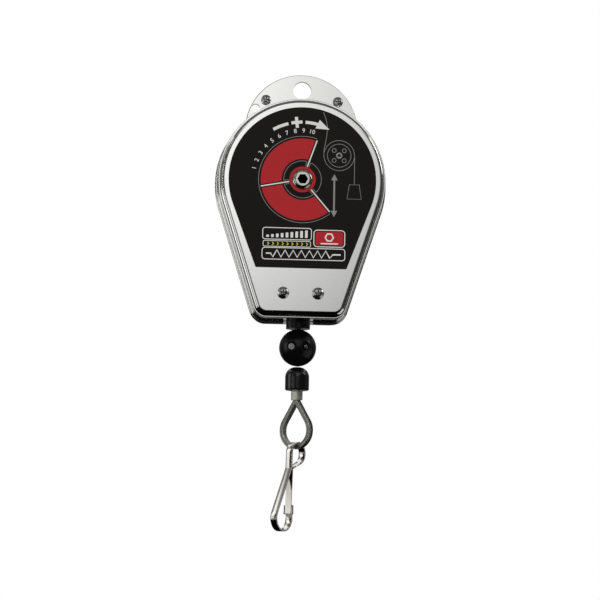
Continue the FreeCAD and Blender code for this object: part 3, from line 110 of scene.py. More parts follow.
def finish(name, colour, mottle, worn, metallic, rough, grain, bump, patch=18, edge=0.35,
           stretch=(1, 1, 1), specular=0.5, ring_axis=None, rings=0, painted_shade_reach=0, alone=True):
    """A real surface: colour mottled in patches, grain that varies the gloss and stands up, worn edges.

    rough is (middle, spread); grain is the spacing of the surface's marks, bump their height, patch
    the size of the colour patches and edge the width of the worn edges, all in millimetres; stretch
    draws the grain out; rings is the spacing of lathe marks round ring_axis; painted_shade_reach is
    how far into its recesses the painted shade reaches, a darkening by ambient occlusion, and alone
    leaves the pieces around it out of that.
    """
    material = bpy.data.materials.new(name)
    material.use_nodes = True
    tree = material.node_tree
    shader = tree.nodes["Principled BSDF"]
    place = add(tree, "TexCoord").outputs["Object"]
    cloud = add(tree, "TexNoise", {"Vector": place, "Scale": 1 / (patch * MM), "Detail": 3.0})
    shade = add(tree, "Mix", {0: cloud.outputs["Fac"], 6: linear(colour), 7: linear(mottle)},
                data_type="RGBA")
    drawn = add(tree, "VectorMath", {0: place, 1: stretch}, operation="MULTIPLY")
    marks = add(tree, "TexNoise", {
        "Vector": drawn.outputs[0], "Scale": 1 / (grain * MM), "Detail": 5.0, "Roughness": 0.6,
    })
    height = marks.outputs["Fac"]
    if rings:
        turned = add(tree, "TexWave", {"Vector": place, "Scale": 1 / (rings * MM) / RINGS_AT_ONE,
                                       "Distortion": 0.4, "Detail": 2.0, "Detail Scale": 0.3},
                     wave_type="RINGS", rings_direction=ring_axis)
        height = add(tree, "Math", {0: height, 1: turned.outputs["Fac"]}, operation="ADD").outputs[0]
    gloss = add(tree, "MapRange", {
        "Value": marks.outputs["Fac"], "From Min": 0.3, "From Max": 0.7,
        "To Min": rough[0] - rough[1], "To Max": rough[0] + rough[1],
    })
    raised = add(tree, "Bump", {"Height": height, "Strength": 0.5, "Distance": bump * MM})
    soft = add(tree, "Bevel", {"Radius": edge * MM}, samples=4)
    flat = add(tree, "NewGeometry").outputs["Normal"]
    turn = add(tree, "VectorMath", {0: soft.outputs["Normal"], 1: flat}, operation="DOT_PRODUCT")
    rim = add(tree, "MapRange", {"Value": turn.outputs["Value"], "From Min": 0.97, "From Max": 0.75})
    rubbed = add(tree, "Math", {0: rim.outputs[0], 1: cloud.outputs["Fac"]}, operation="MULTIPLY")
    tone = add(tree, "Mix", {0: rubbed.outputs[0], 6: shade.outputs[2], 7: linear(worn)}, data_type="RGBA")
    # painted shade: where ambient occlusion finds the surface hemmed in, its colour darkens towards the shade
    # tone
    if painted_shade_reach:
        open_to = add(tree, "AmbientOcclusion", {"Distance": painted_shade_reach * MM}, samples=8, only_local=alone)
        painted_shade_share = add(tree, "MapRange", {"Value": open_to.outputs["AO"], "From Min": 0.75, "From Max": 0.25})
        tone = add(tree, "Mix", {0: painted_shade_share.outputs[0], 6: tone.outputs[2], 7: linear(PAINTED_SHADE_TONE)}, data_type="RGBA")
    tree.links.new(tone.outputs[2], shader.inputs["Base Color"])
    tree.links.new(gloss.outputs[0], shader.inputs["Roughness"])
    tree.links.new(raised.outputs[0], shader.inputs["Normal"])
    shader.inputs["Metallic"].default_value = metallic
    shader.inputs["Specular IOR Level"].default_value = specular
    return material


# nickel-plated pressed steel: silky and near white, with faint rolling lines across
nickel_plate = finish("nickel_plated_pressed_steel", "#f3f3ef", "#eceeea", "#fbfbf8", 1, (0.11, 0.02), 0.6,
                      0.001, patch=45, edge=0.5, stretch=(0.2, 1, 1))
# polyester label, screen printed: flat black, slightly brown
label_film = finish("printed_polyester_film", "#1a1815", "#161412", "#2a2824", 0, (0.42, 0.04), 0.35, 0.004,
                    patch=30, edge=0.2, specular=0.12)
# glass-filled nylon, moulded: near black with a soft gloss and a fine eroded skin
black_nylon = finish("moulded_black_nylon", "#0a0a0b", "#070709", "#1a1a1b", 0, (0.26, 0.04), 0.25, 0.003,
                     patch=10, edge=0.3, specular=0.26)
# the cap's nylon, polished by handling: the same black with clear streaks of light
glossy_nylon = finish("handled_black_nylon", "#0c0c0f", "#08080a", "#1d1d20", 0, (0.17, 0.03), 0.25, 0.002,
                      patch=8, edge=0.3, specular=0.6)
# bright zinc-plated steel, cold headed: mirror spots broken by small dents, with painted shade darkening its
# recesses
zinc_plate = finish("zinc_plated_steel", "#e6e6e2", "#c9cac6", "#f4f4f0", 1, (0.26, 0.06), 0.7, 0.01, patch=2,
                    painted_shade_reach=3.2)
# bright steel, small and deep in the ball, with a dull shine: its dark look is painted shade from the recess
# walls round it
recess_shaded_steel = finish("steel_darkened_by_painted_shade", "#c8c8c8", "#77777a", "#e0e0e0", 1, (0.22, 0.08), 0.5, 0.03,
                     patch=1.2, painted_shade_reach=1.6, alone=False)
# sintered bronze soaked in oil: brown and porous
bronze = finish("oil_soaked_sintered_bronze", "#a6793f", "#7b5527", "#c79a5c", 1, (0.45, 0.08), 0.12, 0.01,
                patch=3)
# turned steel shaft: bright, with the lathe's rings, and painted shade darkening it where it sits deep
turned_steel = finish("turned_bright_steel", "#dcdcd8", "#cfd0cd", "#f0f0ec", 1, (0.22, 0.04), 0.4, 0.003,
                      patch=5, ring_axis="Y", rings=0.9739, painted_shade_reach=9)
# blued spring steel: dark blue-grey strip, rolled
blued_steel = finish("blued_spring_steel", "#565a66", "#3e4250", "#8d919a", 1, (0.32, 0.05), 0.5, 0.003,
                     patch=6, stretch=(1, 0.2, 1))
# die-cast alloy: pale grey, slightly grainy skin
cast_alloy = finish("die_cast_alloy", "#cdced0", "#b7b9bb", "#e2e2e4", 1, (0.4, 0.06), 0.4, 0.01, patch=9)
# galvanised wire rope: drawn wires, grey, dark between
galvanised_rope = finish("galvanised_wire_rope", "#c4c4be", "#8a8a84", "#e2e2dc", 1, (0.46, 0.08), 0.25, 0.02,
                         patch=0.8, edge=0.1)
# soft aluminium sleeve: dull, with the press tool's marks
sleeve_alloy = finish("crimped_soft_aluminium", "#d3d3c9", "#b4b4a8", "#e6e6dc", 1, (0.4, 0.06), 0.5, 0.02,
                      patch=3)
# galvanised steel liner: spangled dull grey
liner_zinc = finish("galvanised_pressed_strip", "#c0c0ba", "#50504a", "#d6d6d0", 1, (0.48, 0.1), 0.3, 0.05,
                    patch=0.6, edge=0.2)
# the same strip at its rolled lips, painted brighter as a highlight, so that its lips show as two light lines
liner_painted_highlight = finish("galvanised_edge_painted_highlight", "#f0f0ea", "#c4c4be", "#fafaf4", 1, (0.34, 0.06), 0.3, 0.01,
                    patch=1.5, edge=0.1)
# nickel-plated bent strip: bright, warm, with draw lines along it
nickel_strip = finish("nickel_plated_bent_strip", "#efece5", "#e2ded6", "#fbf9f4", 1, (0.12, 0.03), 0.25,
                      0.004, patch=4, stretch=(1, 1, 0.08))
# screen inks: flat colours with a fine grain, each a thin raised skin
INKS = {
    "red": finish("screen_ink_red", "#b32328", "#ab1f24", "#b83036", 0, (0.45, 0.04), 0.4, 0.003, patch=12,
                  specular=0.15),
    "white": finish("screen_ink_white", "#e6e6e1", "#dcdcd6", "#f0f0ec", 0, (0.45, 0.04), 0.4, 0.003, patch=8,
                    specular=0.2),
    "silver": finish("screen_ink_silver", "#8e8e8a", "#7f7f7b", "#a2a29e", 0, (0.4, 0.05), 0.3, 0.003,
                     patch=4, specular=0.3),
    "yellow": finish("screen_ink_yellow", "#d8cc4a", "#cabd3c", "#e2d660", 0, (0.45, 0.04), 0.4, 0.003,
                     patch=6, specular=0.15),
}
WORN_BY = {
    nickel_plate: ["front_cover", "rear_cover"],
    label_film: ["face_label"],
    black_nylon: ["rope_guide", "ball_front", "ball_rear"],
    glossy_nylon: ["end_cap"],
    zinc_plate: ["case_screws", "case_nuts", "hanger_screws", "hanger_nuts", "lid_screws", "click_rivet",
                 "shaft_circlip"],
    recess_shaded_steel: ["ball_screws", "ball_nuts"],
    bronze: ["front_bush", "rear_bush", "drum_bushes", "thrust_washer"],
    turned_steel: ["tension_shaft", "ratchet_wheel", "inner_anchor_pin", "outer_anchor_pin"],
    blued_steel: ["click_spring", "mainspring"],
    cast_alloy: ["cable_drum", "drum_lid"],
    galvanised_rope: ["rope_on_drum", "rope_inner_run", "rope_run", "rope_in_ball", "rope_loop"],
    sleeve_alloy: ["ferrule", "rope_end_sleeve"],
    liner_zinc: ["thimble"],
    nickel_strip: ["hook_body", "hook_gate"],
}
for material, worn_by in WORN_BY.items():
    for name in worn_by:
        piece = nodes[name]
        if not piece.material_slots:
            piece.data.materials.append(material)
        for held in piece.material_slots:
            held.material = material


# ---------------------------------------------------------------- print on the label
SHAFT = middle("rear_bush")
FACE_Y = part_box("face_label")[0].y
INK_BITE, INK_RISE = 0.02 * MM, 0.04 * MM
DIGIT_SHARE = 0.7  # a digit's height as a share of its letter size


def about(reach, degrees):
    """A point on the label, in mm from the shaft; degrees run anticlockwise from the right."""
    return reach * math.cos(math.radians(degrees)), reach * math.sin(math.radians(degrees))


def arc(reach, start, end, step=2.0):
    """Points round the shaft between two angles, about a step of degrees apart."""
    count = max(2, round(abs(end - start) / step) + 1)
    return [about(reach, start + (end - start) * i / (count - 1)) for i in range(count)]


def band(inner, outer, start, end, gap=0):
    """A piece of a ring between two angles; gap mm is left off either end, square to the radius."""
    trim_in, trim_out = (math.degrees(math.asin(gap / reach)) for reach in (inner, outer))
    return arc(inner, start + trim_in, end - trim_in) + arc(outer, end - trim_out, start + trim_out)


def rounded(left, right, low, high, corner):
    """A box's outline with round corners."""
    centres = [(right - corner, high - corner, 0), (left + corner, high - corner, 90),
               (left + corner, low + corner, 180), (right - corner, low + corner, 270)]
    return [(x + dx, z + dz) for x, z, turn in centres for dx, dz in arc(corner, turn, turn + 90, 15)]


def stroke(points, width, closed=False):
    """The two sides of a line of that width, as (one side, other side)."""
    one, other = [], []
    last = len(points) - 1
    for i, (x, z) in enumerate(points):
        before = points[i - 1] if i or closed else points[i]
        after = points[(i + 1) % len(points)] if i < last or closed else points[i]
        along = Vector((after[0] - before[0], after[1] - before[1])).normalized()
        side = Vector((-along.y, along.x)) * width / 2
        one.append((x + side.x, z + side.y))
        other.append((x - side.x, z - side.y))
    return one, other


class Print:
    """One ink's shapes, gathered as flat faces and then raised into one thin closed skin."""

    def __init__(self):
        self.mesh = bmesh.new()

    def corner(self, point):
        """A corner of a shape, let a little way into the label."""
        return self.mesh.verts.new((SHAFT.x + point[0] * MM, FACE_Y + INK_BITE, SHAFT.z + point[1] * MM))

    def fill(self, points):
        """A filled shape inside an outline."""
        self.mesh.faces.new([self.corner(p) for p in points])

    def line(self, points, width, closed=False):
        """A line of one width through the points."""
        sides = [[self.corner(p) for p in side] for side in stroke(points, width, closed)]
        for i in range(len(points) if closed else len(points) - 1):
            j = (i + 1) % len(points)
            self.mesh.faces.new([sides[0][i], sides[0][j], sides[1][j], sides[1][i]])

    def number(self, text, centre, height, turn=0):
        """A plain number, upright at turn 0."""
        words = bpy.data.curves.new("number", "FONT")
        words.body = text
        words.align_x, words.align_y = "CENTER", "CENTER"
        words.size = height / DIGIT_SHARE
        words.resolution_u = 3
        carrier = bpy.data.objects.new("number", words)
        flat = bpy.data.meshes.new_from_object(carrier)
        spin = Matrix.Rotation(math.radians(turn), 2)
        start = len(self.mesh.verts)
        self.mesh.from_mesh(flat)
        self.mesh.verts.ensure_lookup_table()
        for vertex in self.mesh.verts[start:]:
            x, z = spin @ vertex.co.xy
            vertex.co = (SHAFT.x + (centre[0] + x) * MM, FACE_Y + INK_BITE, SHAFT.z + (centre[1] + z) * MM)
        bpy.data.objects.remove(carrier)
        bpy.data.meshes.remove(flat)

    def raise_up(self, name, ink, rise=INK_RISE):
        """Turns the flat shapes to the front, gives them their thickness and makes one piece of them."""
        front = Vector((0, -1, 0))
        bmesh.ops.remove_doubles(self.mesh, verts=self.mesh.verts, dist=0.002 * MM)
        for face in self.mesh.faces:
            face.normal_update()
            if face.normal.dot(front) < 0:
                face.normal_flip()
        raised = bmesh.ops.extrude_face_region(self.mesh, geom=list(self.mesh.faces), use_keep_orig=True)
        for vertex in raised["geom"]:
            if isinstance(vertex, bmesh.types.BMVert):
                vertex.co.y -= INK_BITE + rise
        bmesh.ops.recalc_face_normals(self.mesh, faces=self.mesh.faces)
        bmesh.ops.triangulate(self.mesh, faces=self.mesh.faces)
        piece = new_piece(name, self.mesh, INKS[ink], "housing")
        return piece


def new_piece(name, made, material, body, smooth=None):
    """A named piece from a bmesh, painted and riding on a body.

    smooth is the sharpest edge, in degrees, that is still shaded round.
    """
    data = bpy.data.meshes.new(name)
    made.to_mesh(data)
    made.free()
    data.materials.append(material)
    piece = bpy.data.objects.new(name, data)
    scene.collection.objects.link(piece)
    if smooth:
        data.shade_smooth()
        data.set_sharp_from_angle(angle=math.radians(smooth))
    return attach(piece, body) if body else piece


NEEDLES = (70.7, 190.8, 310.5)  # the dial's three white lines, in degrees
ARROW_IN, ARROW_OUT = 36.6, 38.6  # the two edges of the arrow's shaft, from the socket
PLUS_TURN = 96.5
ROW_START, ROW_PITCH, ROW_COUNT = -22.6, 3.1, 9  # the bars, and the chevrons below them
COIL_LEVEL, COIL_HALF = -48.55, 2.3
NUMBER_START, NUMBER_STEP, NUMBER_OUT = 168, 9.8, 31.9  # the numbers 1 to 10 round the dial
FINE_LINE = 0.3
red = Print()
for start, end in zip(NEEDLES, NEEDLES[1:]):
    red.fill(band(13.4, 26.9, start, end, 1.15))
red.line(arc(7.6, 0, 354, 6), 1.7, closed=True)
red.fill(rounded(8.9, 26.7, -42.6, -33.8, 1.4))
red.raise_up("print_red", "red")

white = Print()
for angle in NEEDLES:
    white.line([about(8.7, angle), about(27.3, angle)], 0.75)
white.line(rounded(-24.9, 6.3, -39.4, -31.9, 1.6), 0.5, closed=True)
white.line(rounded(-24.5, 5.8, -44, -40.4, 0.8), 0.4, closed=True)
white.line(rounded(-25.1, 27.9, -52.3, -44.8, 1.8), 0.5, closed=True)
white.line(rounded(7.9, 27.7, -43.6, -32.8, 2.2), 0.55, closed=True)
# a plus between the two halves of an arrow that shows which way to turn the socket
white.fill(band(ARROW_IN, ARROW_OUT, 105, 121))
white.fill(band(ARROW_IN, ARROW_OUT, 76, 88))
white.fill([about(34.6, 77), about(40.8, 75), about(37.2, 63)])
across, up = Vector(about(1, PLUS_TURN - 90)), Vector(about(1, PLUS_TURN))
heart = Vector(about((ARROW_IN + ARROW_OUT) / 2, PLUS_TURN))
PLUS = [(1, 1), (1, 3.6), (-1, 3.6), (-1, 1), (-3.6, 1), (-3.6, -1),
        (-1, -1), (-1, -3.6), (1, -3.6), (1, -1), (3.6, -1), (3.6, 1)]
white.fill([tuple(heart + across * x + up * z) for x, z in PLUS])
# a row of rising bars, a coiled spring and a hexagon stand for the load, the spring and the key
for i in range(ROW_COUNT):
    left = ROW_START + ROW_PITCH * i
    white.fill(rounded(left, left + 1.7, -38.1, -36.6 + 0.42 * i, 0.3))
coil = [(-22.6, COIL_LEVEL), (-19.6, COIL_LEVEL)]
coil += [(-18.2 + 2.6 * i, COIL_LEVEL + (COIL_HALF if i % 2 else -COIL_HALF)) for i in range(15)]
coil += [(20.2, COIL_LEVEL), (25.2, COIL_LEVEL)]
white.line(coil, 0.9)
white.line([(17.8 + x, -37.4 + z) for x, z in arc(2.6, 0, 300, 60)], 1.0, closed=True)
white.fill(rounded(12.2, 23.4, -41.9, -41.1, 0.3))
for i in range(10):
    angle = NUMBER_START - NUMBER_STEP * i
    white.number(str(i + 1), about(NUMBER_OUT, angle), 2.8, angle - 90)
white.raise_up("print_white", "white", 1.5 * INK_RISE)

silver = Print()
silver.fill(band(28.15, 28.45, NEEDLES[0] + 1, NEEDLES[2] - 1))
for start, end in zip(NEEDLES, NEEDLES[1:] + (NEEDLES[0] + 360,)):
    silver.fill(band(11.95, 12.25, start, end, 1.3))
for angle in NEEDLES:
    for way in (-1, 1):
        aside = Vector(about(1, angle + 90 * way)) * 1.3
        silver.line([tuple(Vector(about(8.9, angle)) + aside), tuple(Vector(about(12.1, angle)) + aside)],
                    FINE_LINE)
# a rope over a pulley, an arrow for the travel and a weight
pulley = Vector((23.4, 16.3))
for reach, width in ((9.9, FINE_LINE), (7.6, FINE_LINE), (1.5, 0.9)):
    silver.line([tuple(pulley + Vector(p)) for p in arc(reach, 0, 352, 8)], width, closed=True)
for angle in (45, 135, 225, 315):
    hole = pulley + Vector(about(4.6, angle))
    silver.line([tuple(hole + Vector(p)) for p in arc(1.3, 0, 330, 30)], 0.35, closed=True)
silver.line([(12.9, 44.6), (14.6, 40), (15.6, 35), (15.2, 29), (13.6, 20), (13.4, 16.3)], FINE_LINE)
silver.line([(33.4, 16.3), (33.4, -2.6)], FINE_LINE)
silver.line([(30.2, -2.6), (36.6, -2.6), (38, -12), (28.8, -12)], FINE_LINE, closed=True)
silver.line([(20.5, 0), (20.5, -20)], 1.1)
silver.fill([(18.4, 0), (22.6, 0), (20.5, 4)])
silver.fill([(22.6, -20), (18.4, -20), (20.5, -24)])
silver.raise_up("print_silver", "silver")

yellow = Print()
for i in range(ROW_COUNT):
    tip = ROW_START + 1.8 + ROW_PITCH * i
    yellow.line([(tip - 1, -41.3), (tip, -42.2), (tip - 1, -43.1)], 0.6)
yellow.raise_up("print_yellow", "yellow")

# ---------------------------------------------------------------- wire rope
ROPE_RADIUS = 1.0
LAY = 11.0  # one turn of a strand, along the rope
STRANDS = 6
SNUG = 1.02  # the strands are drawn this much thicker, so that they touch
SIDES = 8  # round any strand or lip


def run_of(route):
    """The points of the smooth line that a route's control points draw, all in mm."""
    drawn = bpy.data.curves.new("route", "CURVE")
    drawn.dimensions = "3D"
    spline = drawn.splines.new("NURBS")
    spline.points.add(len(route) - 1)
    for held, point in zip(spline.points, route):
        held.co = (*point, 1)
    spline.order_u = 3
    spline.use_endpoint_u = True
    spline.resolution_u = 12
    carrier = bpy.data.objects.new("route", drawn)
    mesh = bpy.data.meshes.new_from_object(carrier)
    points = [vertex.co.copy() for vertex in mesh.vertices]
    bpy.data.objects.remove(carrier)
    bpy.data.meshes.remove(mesh)
    return points


def evenly(points, step):
    """Points along a line, a step apart, with the line's direction and the distance run at each."""
    made, run, wanted = [], 0.0, 0.0
    for start, end in zip(points, points[1:]):
        length = (end - start).length
        while length and wanted <= run + length:
            made.append((start.lerp(end, (wanted - run) / length), (end - start).normalized(), wanted))
            wanted += step
        run += length
    return made


def laid_rope(name, route, body, step=0.5):
    """Six strands laid round a core along a route, each a closed tube."""
    line = evenly(run_of(route), step)
    made = bmesh.new()
    side = line[0][1].orthogonal().normalized()
    frames = []
    for point, along, run in line:
        side = (side - along * side.dot(along)).normalized()
        frames.append((point, side, along.cross(side), run))
    thread = ROPE_RADIUS / 3
    for strand in range(-1, STRANDS):
        rings = []
        for point, side, up, run in frames:
            turn = math.tau * (strand / STRANDS + run / LAY)
            centre = point
            if strand >= 0:
                centre = point + (side * math.cos(turn) + up * math.sin(turn)) * (2 * thread)
            turns = (math.tau * k / SIDES for k in range(SIDES))
            around = [centre + (side * math.cos(a) + up * math.sin(a)) * thread * SNUG for a in turns]
            rings.append([made.verts.new(spot * MM) for spot in around])
        for near, far in zip(rings, rings[1:]):
            for k in range(SIDES):
                made.faces.new([near[k], near[(k + 1) % SIDES], far[(k + 1) % SIDES], far[k]])
        made.faces.new(rings[0][::-1])
        made.faces.new(rings[-1])
    bmesh.ops.recalc_face_normals(made, faces=made.faces)
    return new_piece(name, made, galvanised_rope, body, smooth=60)


LOOP_TURN, LOOP_LEAN = math.radians(-40), math.radians(33.5)
LOOP_RADIUS, STRAND_OUT = 10.8, 1.05  # the loop's round bottom; a strand's distance from the middle on top
LOOP_Z = -223.806
BEND_COUNT = 10
sleeve_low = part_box("ferrule")[0].z / MM


def in_loop(across, z):
    """A point in the loop's own plane, in mm."""
    return Vector((across * math.cos(LOOP_TURN), across * math.sin(LOOP_TURN), z))


bend = (math.pi + 2 * LOOP_LEAN) / BEND_COUNT
reach = LOOP_RADIUS / math.cos(bend / 2)
round_bottom = [(reach * math.cos(a), reach * math.sin(a)) for a in
                (math.pi - LOOP_LEAN + bend * (k + 0.5) for k in range(BEND_COUNT))]
loop_route = [in_loop(-STRAND_OUT, sleeve_low + 8), in_loop(-STRAND_OUT, sleeve_low - 1.5)]
loop_route.append(in_loop(-STRAND_OUT - 1.6, sleeve_low - 3.9))
loop_route += [in_loop(x, LOOP_Z + z) for x, z in round_bottom]
loop_route += [in_loop(STRAND_OUT + 1.6, sleeve_low - 3.9), in_loop(STRAND_OUT, sleeve_low - 1.5),
               in_loop(STRAND_OUT, sleeve_low + 8)]
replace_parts(laid_rope("rope_loop_strands", loop_route, "loop_end", 0.6), "rope_loop")


def rod(made, points, radius):
    """A closed round bar that joins its own start, along points in mm."""
    count = len(points)
    rings = []
    for k, point in enumerate(points):
        along = (points[(k + 1) % count] - points[k - 1]).normalized()
        side = along.cross(THROUGH).normalized()
        rings.append([made.verts.new((point + (side * math.cos(a) + THROUGH * math.sin(a)) * radius) * MM)
                      for a in (math.tau * i / SIDES for i in range(SIDES))])
    for k, ring in enumerate(rings):
        following = rings[(k + 1) % count]
        for i in range(SIDES):
            made.faces.new([ring[i], ring[(i + 1) % SIDES], following[(i + 1) % SIDES], following[i]])


# the liner's rolled lips, round the outer and the inner edge of either rim
THROUGH = Vector((-math.sin(LOOP_TURN), math.cos(LOOP_TURN), 0))
LIP_RADIUS = 0.32
LINER_OUT, LINER_IN, LINER_HALF = 1.25, 1.52, 1.75  # its outer and inner edge from the rope, half its width
LIP_STEPS = 36
lips = bmesh.new()
for reach in (LOOP_RADIUS + LINER_OUT - LIP_RADIUS, LOOP_RADIUS - LINER_IN + LIP_RADIUS):
    turns = [math.pi - LOOP_LEAN + (math.pi + 2 * LOOP_LEAN) * k / LIP_STEPS for k in range(LIP_STEPS + 1)]
    bottom = [(reach * math.cos(a), reach * math.sin(a)) for a in turns]
    apex = reach / math.sin(LOOP_LEAN)
    roof = min(apex, sleeve_low - 0.5 - LOOP_Z)
    half_top = (apex - roof) * math.tan(LOOP_LEAN)
    closing = [(half_top, roof), (-half_top, roof)] if half_top else [(0, apex)]
    for way in (-1, 1):
        rod(lips, [in_loop(x, LOOP_Z + z) + THROUGH * way * LINER_HALF for x, z in bottom + closing],
            LIP_RADIUS)
bmesh.ops.recalc_face_normals(lips, faces=lips.faces)
new_piece("thimble_lips", lips, liner_painted_highlight, "loop_end", smooth=50)


MERGE = 0.001 * MM  # points closer than this are one


def softened(node, name, material, width, body):
    """A copy of a piece with its sharp edges rounded over."""
    made = bmesh.new()
    made.from_mesh(nodes[node].data)
    bmesh.ops.remove_doubles(made, verts=made.verts, dist=MERGE)
    bmesh.ops.transform(made, verts=made.verts, matrix=nodes[node].matrix_world)
    bmesh.ops.dissolve_limit(made, angle_limit=math.radians(1), verts=made.verts, edges=made.edges)
    sharp = [edge for edge in made.edges if edge.is_manifold and edge.calc_face_angle() > math.radians(40)]
    bmesh.ops.bevel(made, geom=sharp, offset=width * MM, segments=2, profile=0.5, affect="EDGES",
                    clamp_overlap=True)
    bmesh.ops.triangulate(made, faces=made.faces)
    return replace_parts(new_piece(name, made, material, body, smooth=35), node)


softened("hook_body", "hook_strip", nickel_strip, 0.22, "hook")

# ---------------------------------------------------------------- pressed covers
FACE_ROUND, FACE_BELOW, FACE_CORNER = 51.0, 86.2, 6.0  # the front face's outline, about the shaft
FACE_TAPER = math.radians(18)
LEAN = Vector((math.cos(FACE_TAPER), -math.sin(FACE_TAPER)))  # the way that its right side faces
CORNER = Vector((((FACE_ROUND - FACE_CORNER) + (FACE_BELOW - FACE_CORNER) * LEAN.y) / LEAN.x,
                 FACE_CORNER - FACE_BELOW))  # the middle of its lower right corner
# the profile the press leaves, as (out from that outline, depth from the parting plane) in mm
FACE_ROLL = (-1.2, 18.6, 3.4)  # the round that the face ends in: its middle and its radius
STEP_FOOT, STEP_TOP = (2.25, 18.4), (2.65, 18.4)  # the narrow step outside that round
STEP_ROLL = (2.65, 18.05, 0.35)
WALL_OUT, WALL_HIGH = 3.0, 18.0
RIM_ROLL = (4.0, 0.2, 1.0)  # the flange's rounded edge
FOOT_ROLL = (3.9, 2.1, 0.9)  # the hollow between the wall and the flange
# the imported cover's own profile, in the same measure, by which its points are told apart
SLACK = 0.02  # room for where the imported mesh's long edges cut inside its curves
FACE_DEEP, FLANGE_OUT = 22.0, 5.0
MOVES_FROM = -1.3  # points further inside the face than this stay
EDGE_ROUND = (-1.0, 21.0)  # the middle of the round at the face's edge
EDGE_FOOT = EDGE_ROUND[1] - SLACK
LEDGE_DEEP, LEDGE_FROM, LEDGE_TO = 20.4, -0.25, 0.46
LEDGE_ROUND = (0.47, 19.6)  # the middle of the round outside the ledge
LEDGE_ROUND_FROM = 0.25
WALL_TOP, WALL_FOOT, WALL_LEAN, WALL_NEAR = (1.27, 19.68), 2.0, 0.0979, 0.2
FOOT_FROM, FOOT_TO, FLANGE_TOP = 2.8, 3.9, 1.2
RIM_ROUND, RIM_FROM = (4.5, 0.7), 4.3


def outside(x, z):
    """How far a point lies outside the front face's outline, in mm."""
    spot = Vector((abs(x) - SHAFT.x / MM, z - SHAFT.z / MM))
    if spot.x * -LEAN.y + spot.y * LEAN.x > 0:
        return spot.length - FACE_ROUND
    past = spot - CORNER
    if past.x > 0 and past.x * -LEAN.y + past.y * LEAN.x < 0:
        return past.length - FACE_CORNER
    return max(spot.dot(LEAN) - FACE_ROUND, -spot.y - FACE_BELOW)


def on_round(roll, out, deep):
    """The point of a round that lies in a direction from its middle, and the way the surface faces there."""
    turn = math.atan2(max(0, out), max(0, deep))
    way = (math.sin(turn), math.cos(turn))
    return (roll[0] + roll[2] * way[0], roll[1] + roll[2] * way[1]), way


def between(start, end, share):
    """The point that lies a share of the way from one to another."""
    return start[0] + (end[0] - start[0]) * share, start[1] + (end[1] - start[1]) * share


def rolled(out, deep):
    """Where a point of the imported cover's profile goes when its edges are rolled, and the way it faces there.

    None for a point that stays, and no way for one that keeps its own.
    """
    if not MOVES_FROM < out < FLANGE_OUT + SLACK or deep > FACE_DEEP + SLACK:
        return None
    if deep > EDGE_FOOT:
        return on_round(FACE_ROLL, out - EDGE_ROUND[0], deep - EDGE_ROUND[1]) if out < SLACK else None
    if deep > LEDGE_DEEP + SLACK:
        down = (EDGE_FOOT - deep) / (EDGE_FOOT - LEDGE_DEEP - SLACK)
        roll_end = (FACE_ROLL[0] + FACE_ROLL[2], FACE_ROLL[1])
        return (between(roll_end, STEP_FOOT, down), (1, 0)) if LEDGE_FROM < out < SLACK else None
    if deep > LEDGE_DEEP - SLACK and LEDGE_FROM < out < LEDGE_TO:
        across = max(0, out) / LEDGE_ROUND[0]
        return between(STEP_FOOT, STEP_TOP, across), (0, 1) if out > SLACK else None
    if deep > WALL_TOP[1] - SLACK and LEDGE_ROUND_FROM < out < WALL_TOP[0] + SLACK:
        return on_round(STEP_ROLL, out - LEDGE_ROUND[0], deep - LEDGE_ROUND[1])
    wall = WALL_TOP[0] + (WALL_TOP[1] - deep) * WALL_LEAN
    if WALL_FOOT + SLACK < deep < WALL_TOP[1] + SLACK and abs(out - wall) < WALL_NEAR:
        return (WALL_OUT, min(deep, WALL_HIGH)), (1, 0)
    if FOOT_FROM < out < FOOT_TO + SLACK and FLANGE_TOP + SLACK < deep < WALL_FOOT + SLACK:
        away = Vector((FOOT_ROLL[0] - out, FOOT_ROLL[1] - deep)).normalized()
        return (FOOT_ROLL[0] - away.x * FOOT_ROLL[2], FOOT_ROLL[1] - away.y * FOOT_ROLL[2]), tuple(away)
    if out > RIM_FROM and RIM_ROUND[1] - SLACK < deep < FLANGE_TOP + SLACK:
        return on_round(RIM_ROLL, out - RIM_ROUND[0], deep - RIM_ROUND[1])
    return None


LONG_EDGE_CUTS = 2
NEARBY = 0.01  # the step over which the outline's direction is felt, in mm
FLAT_FROM = 0.9999  # a face this square to the parting plane is flat and faces straight on
FITS_FROM = 0.6  # a rolled direction is kept where it lies at least this close to the face's own


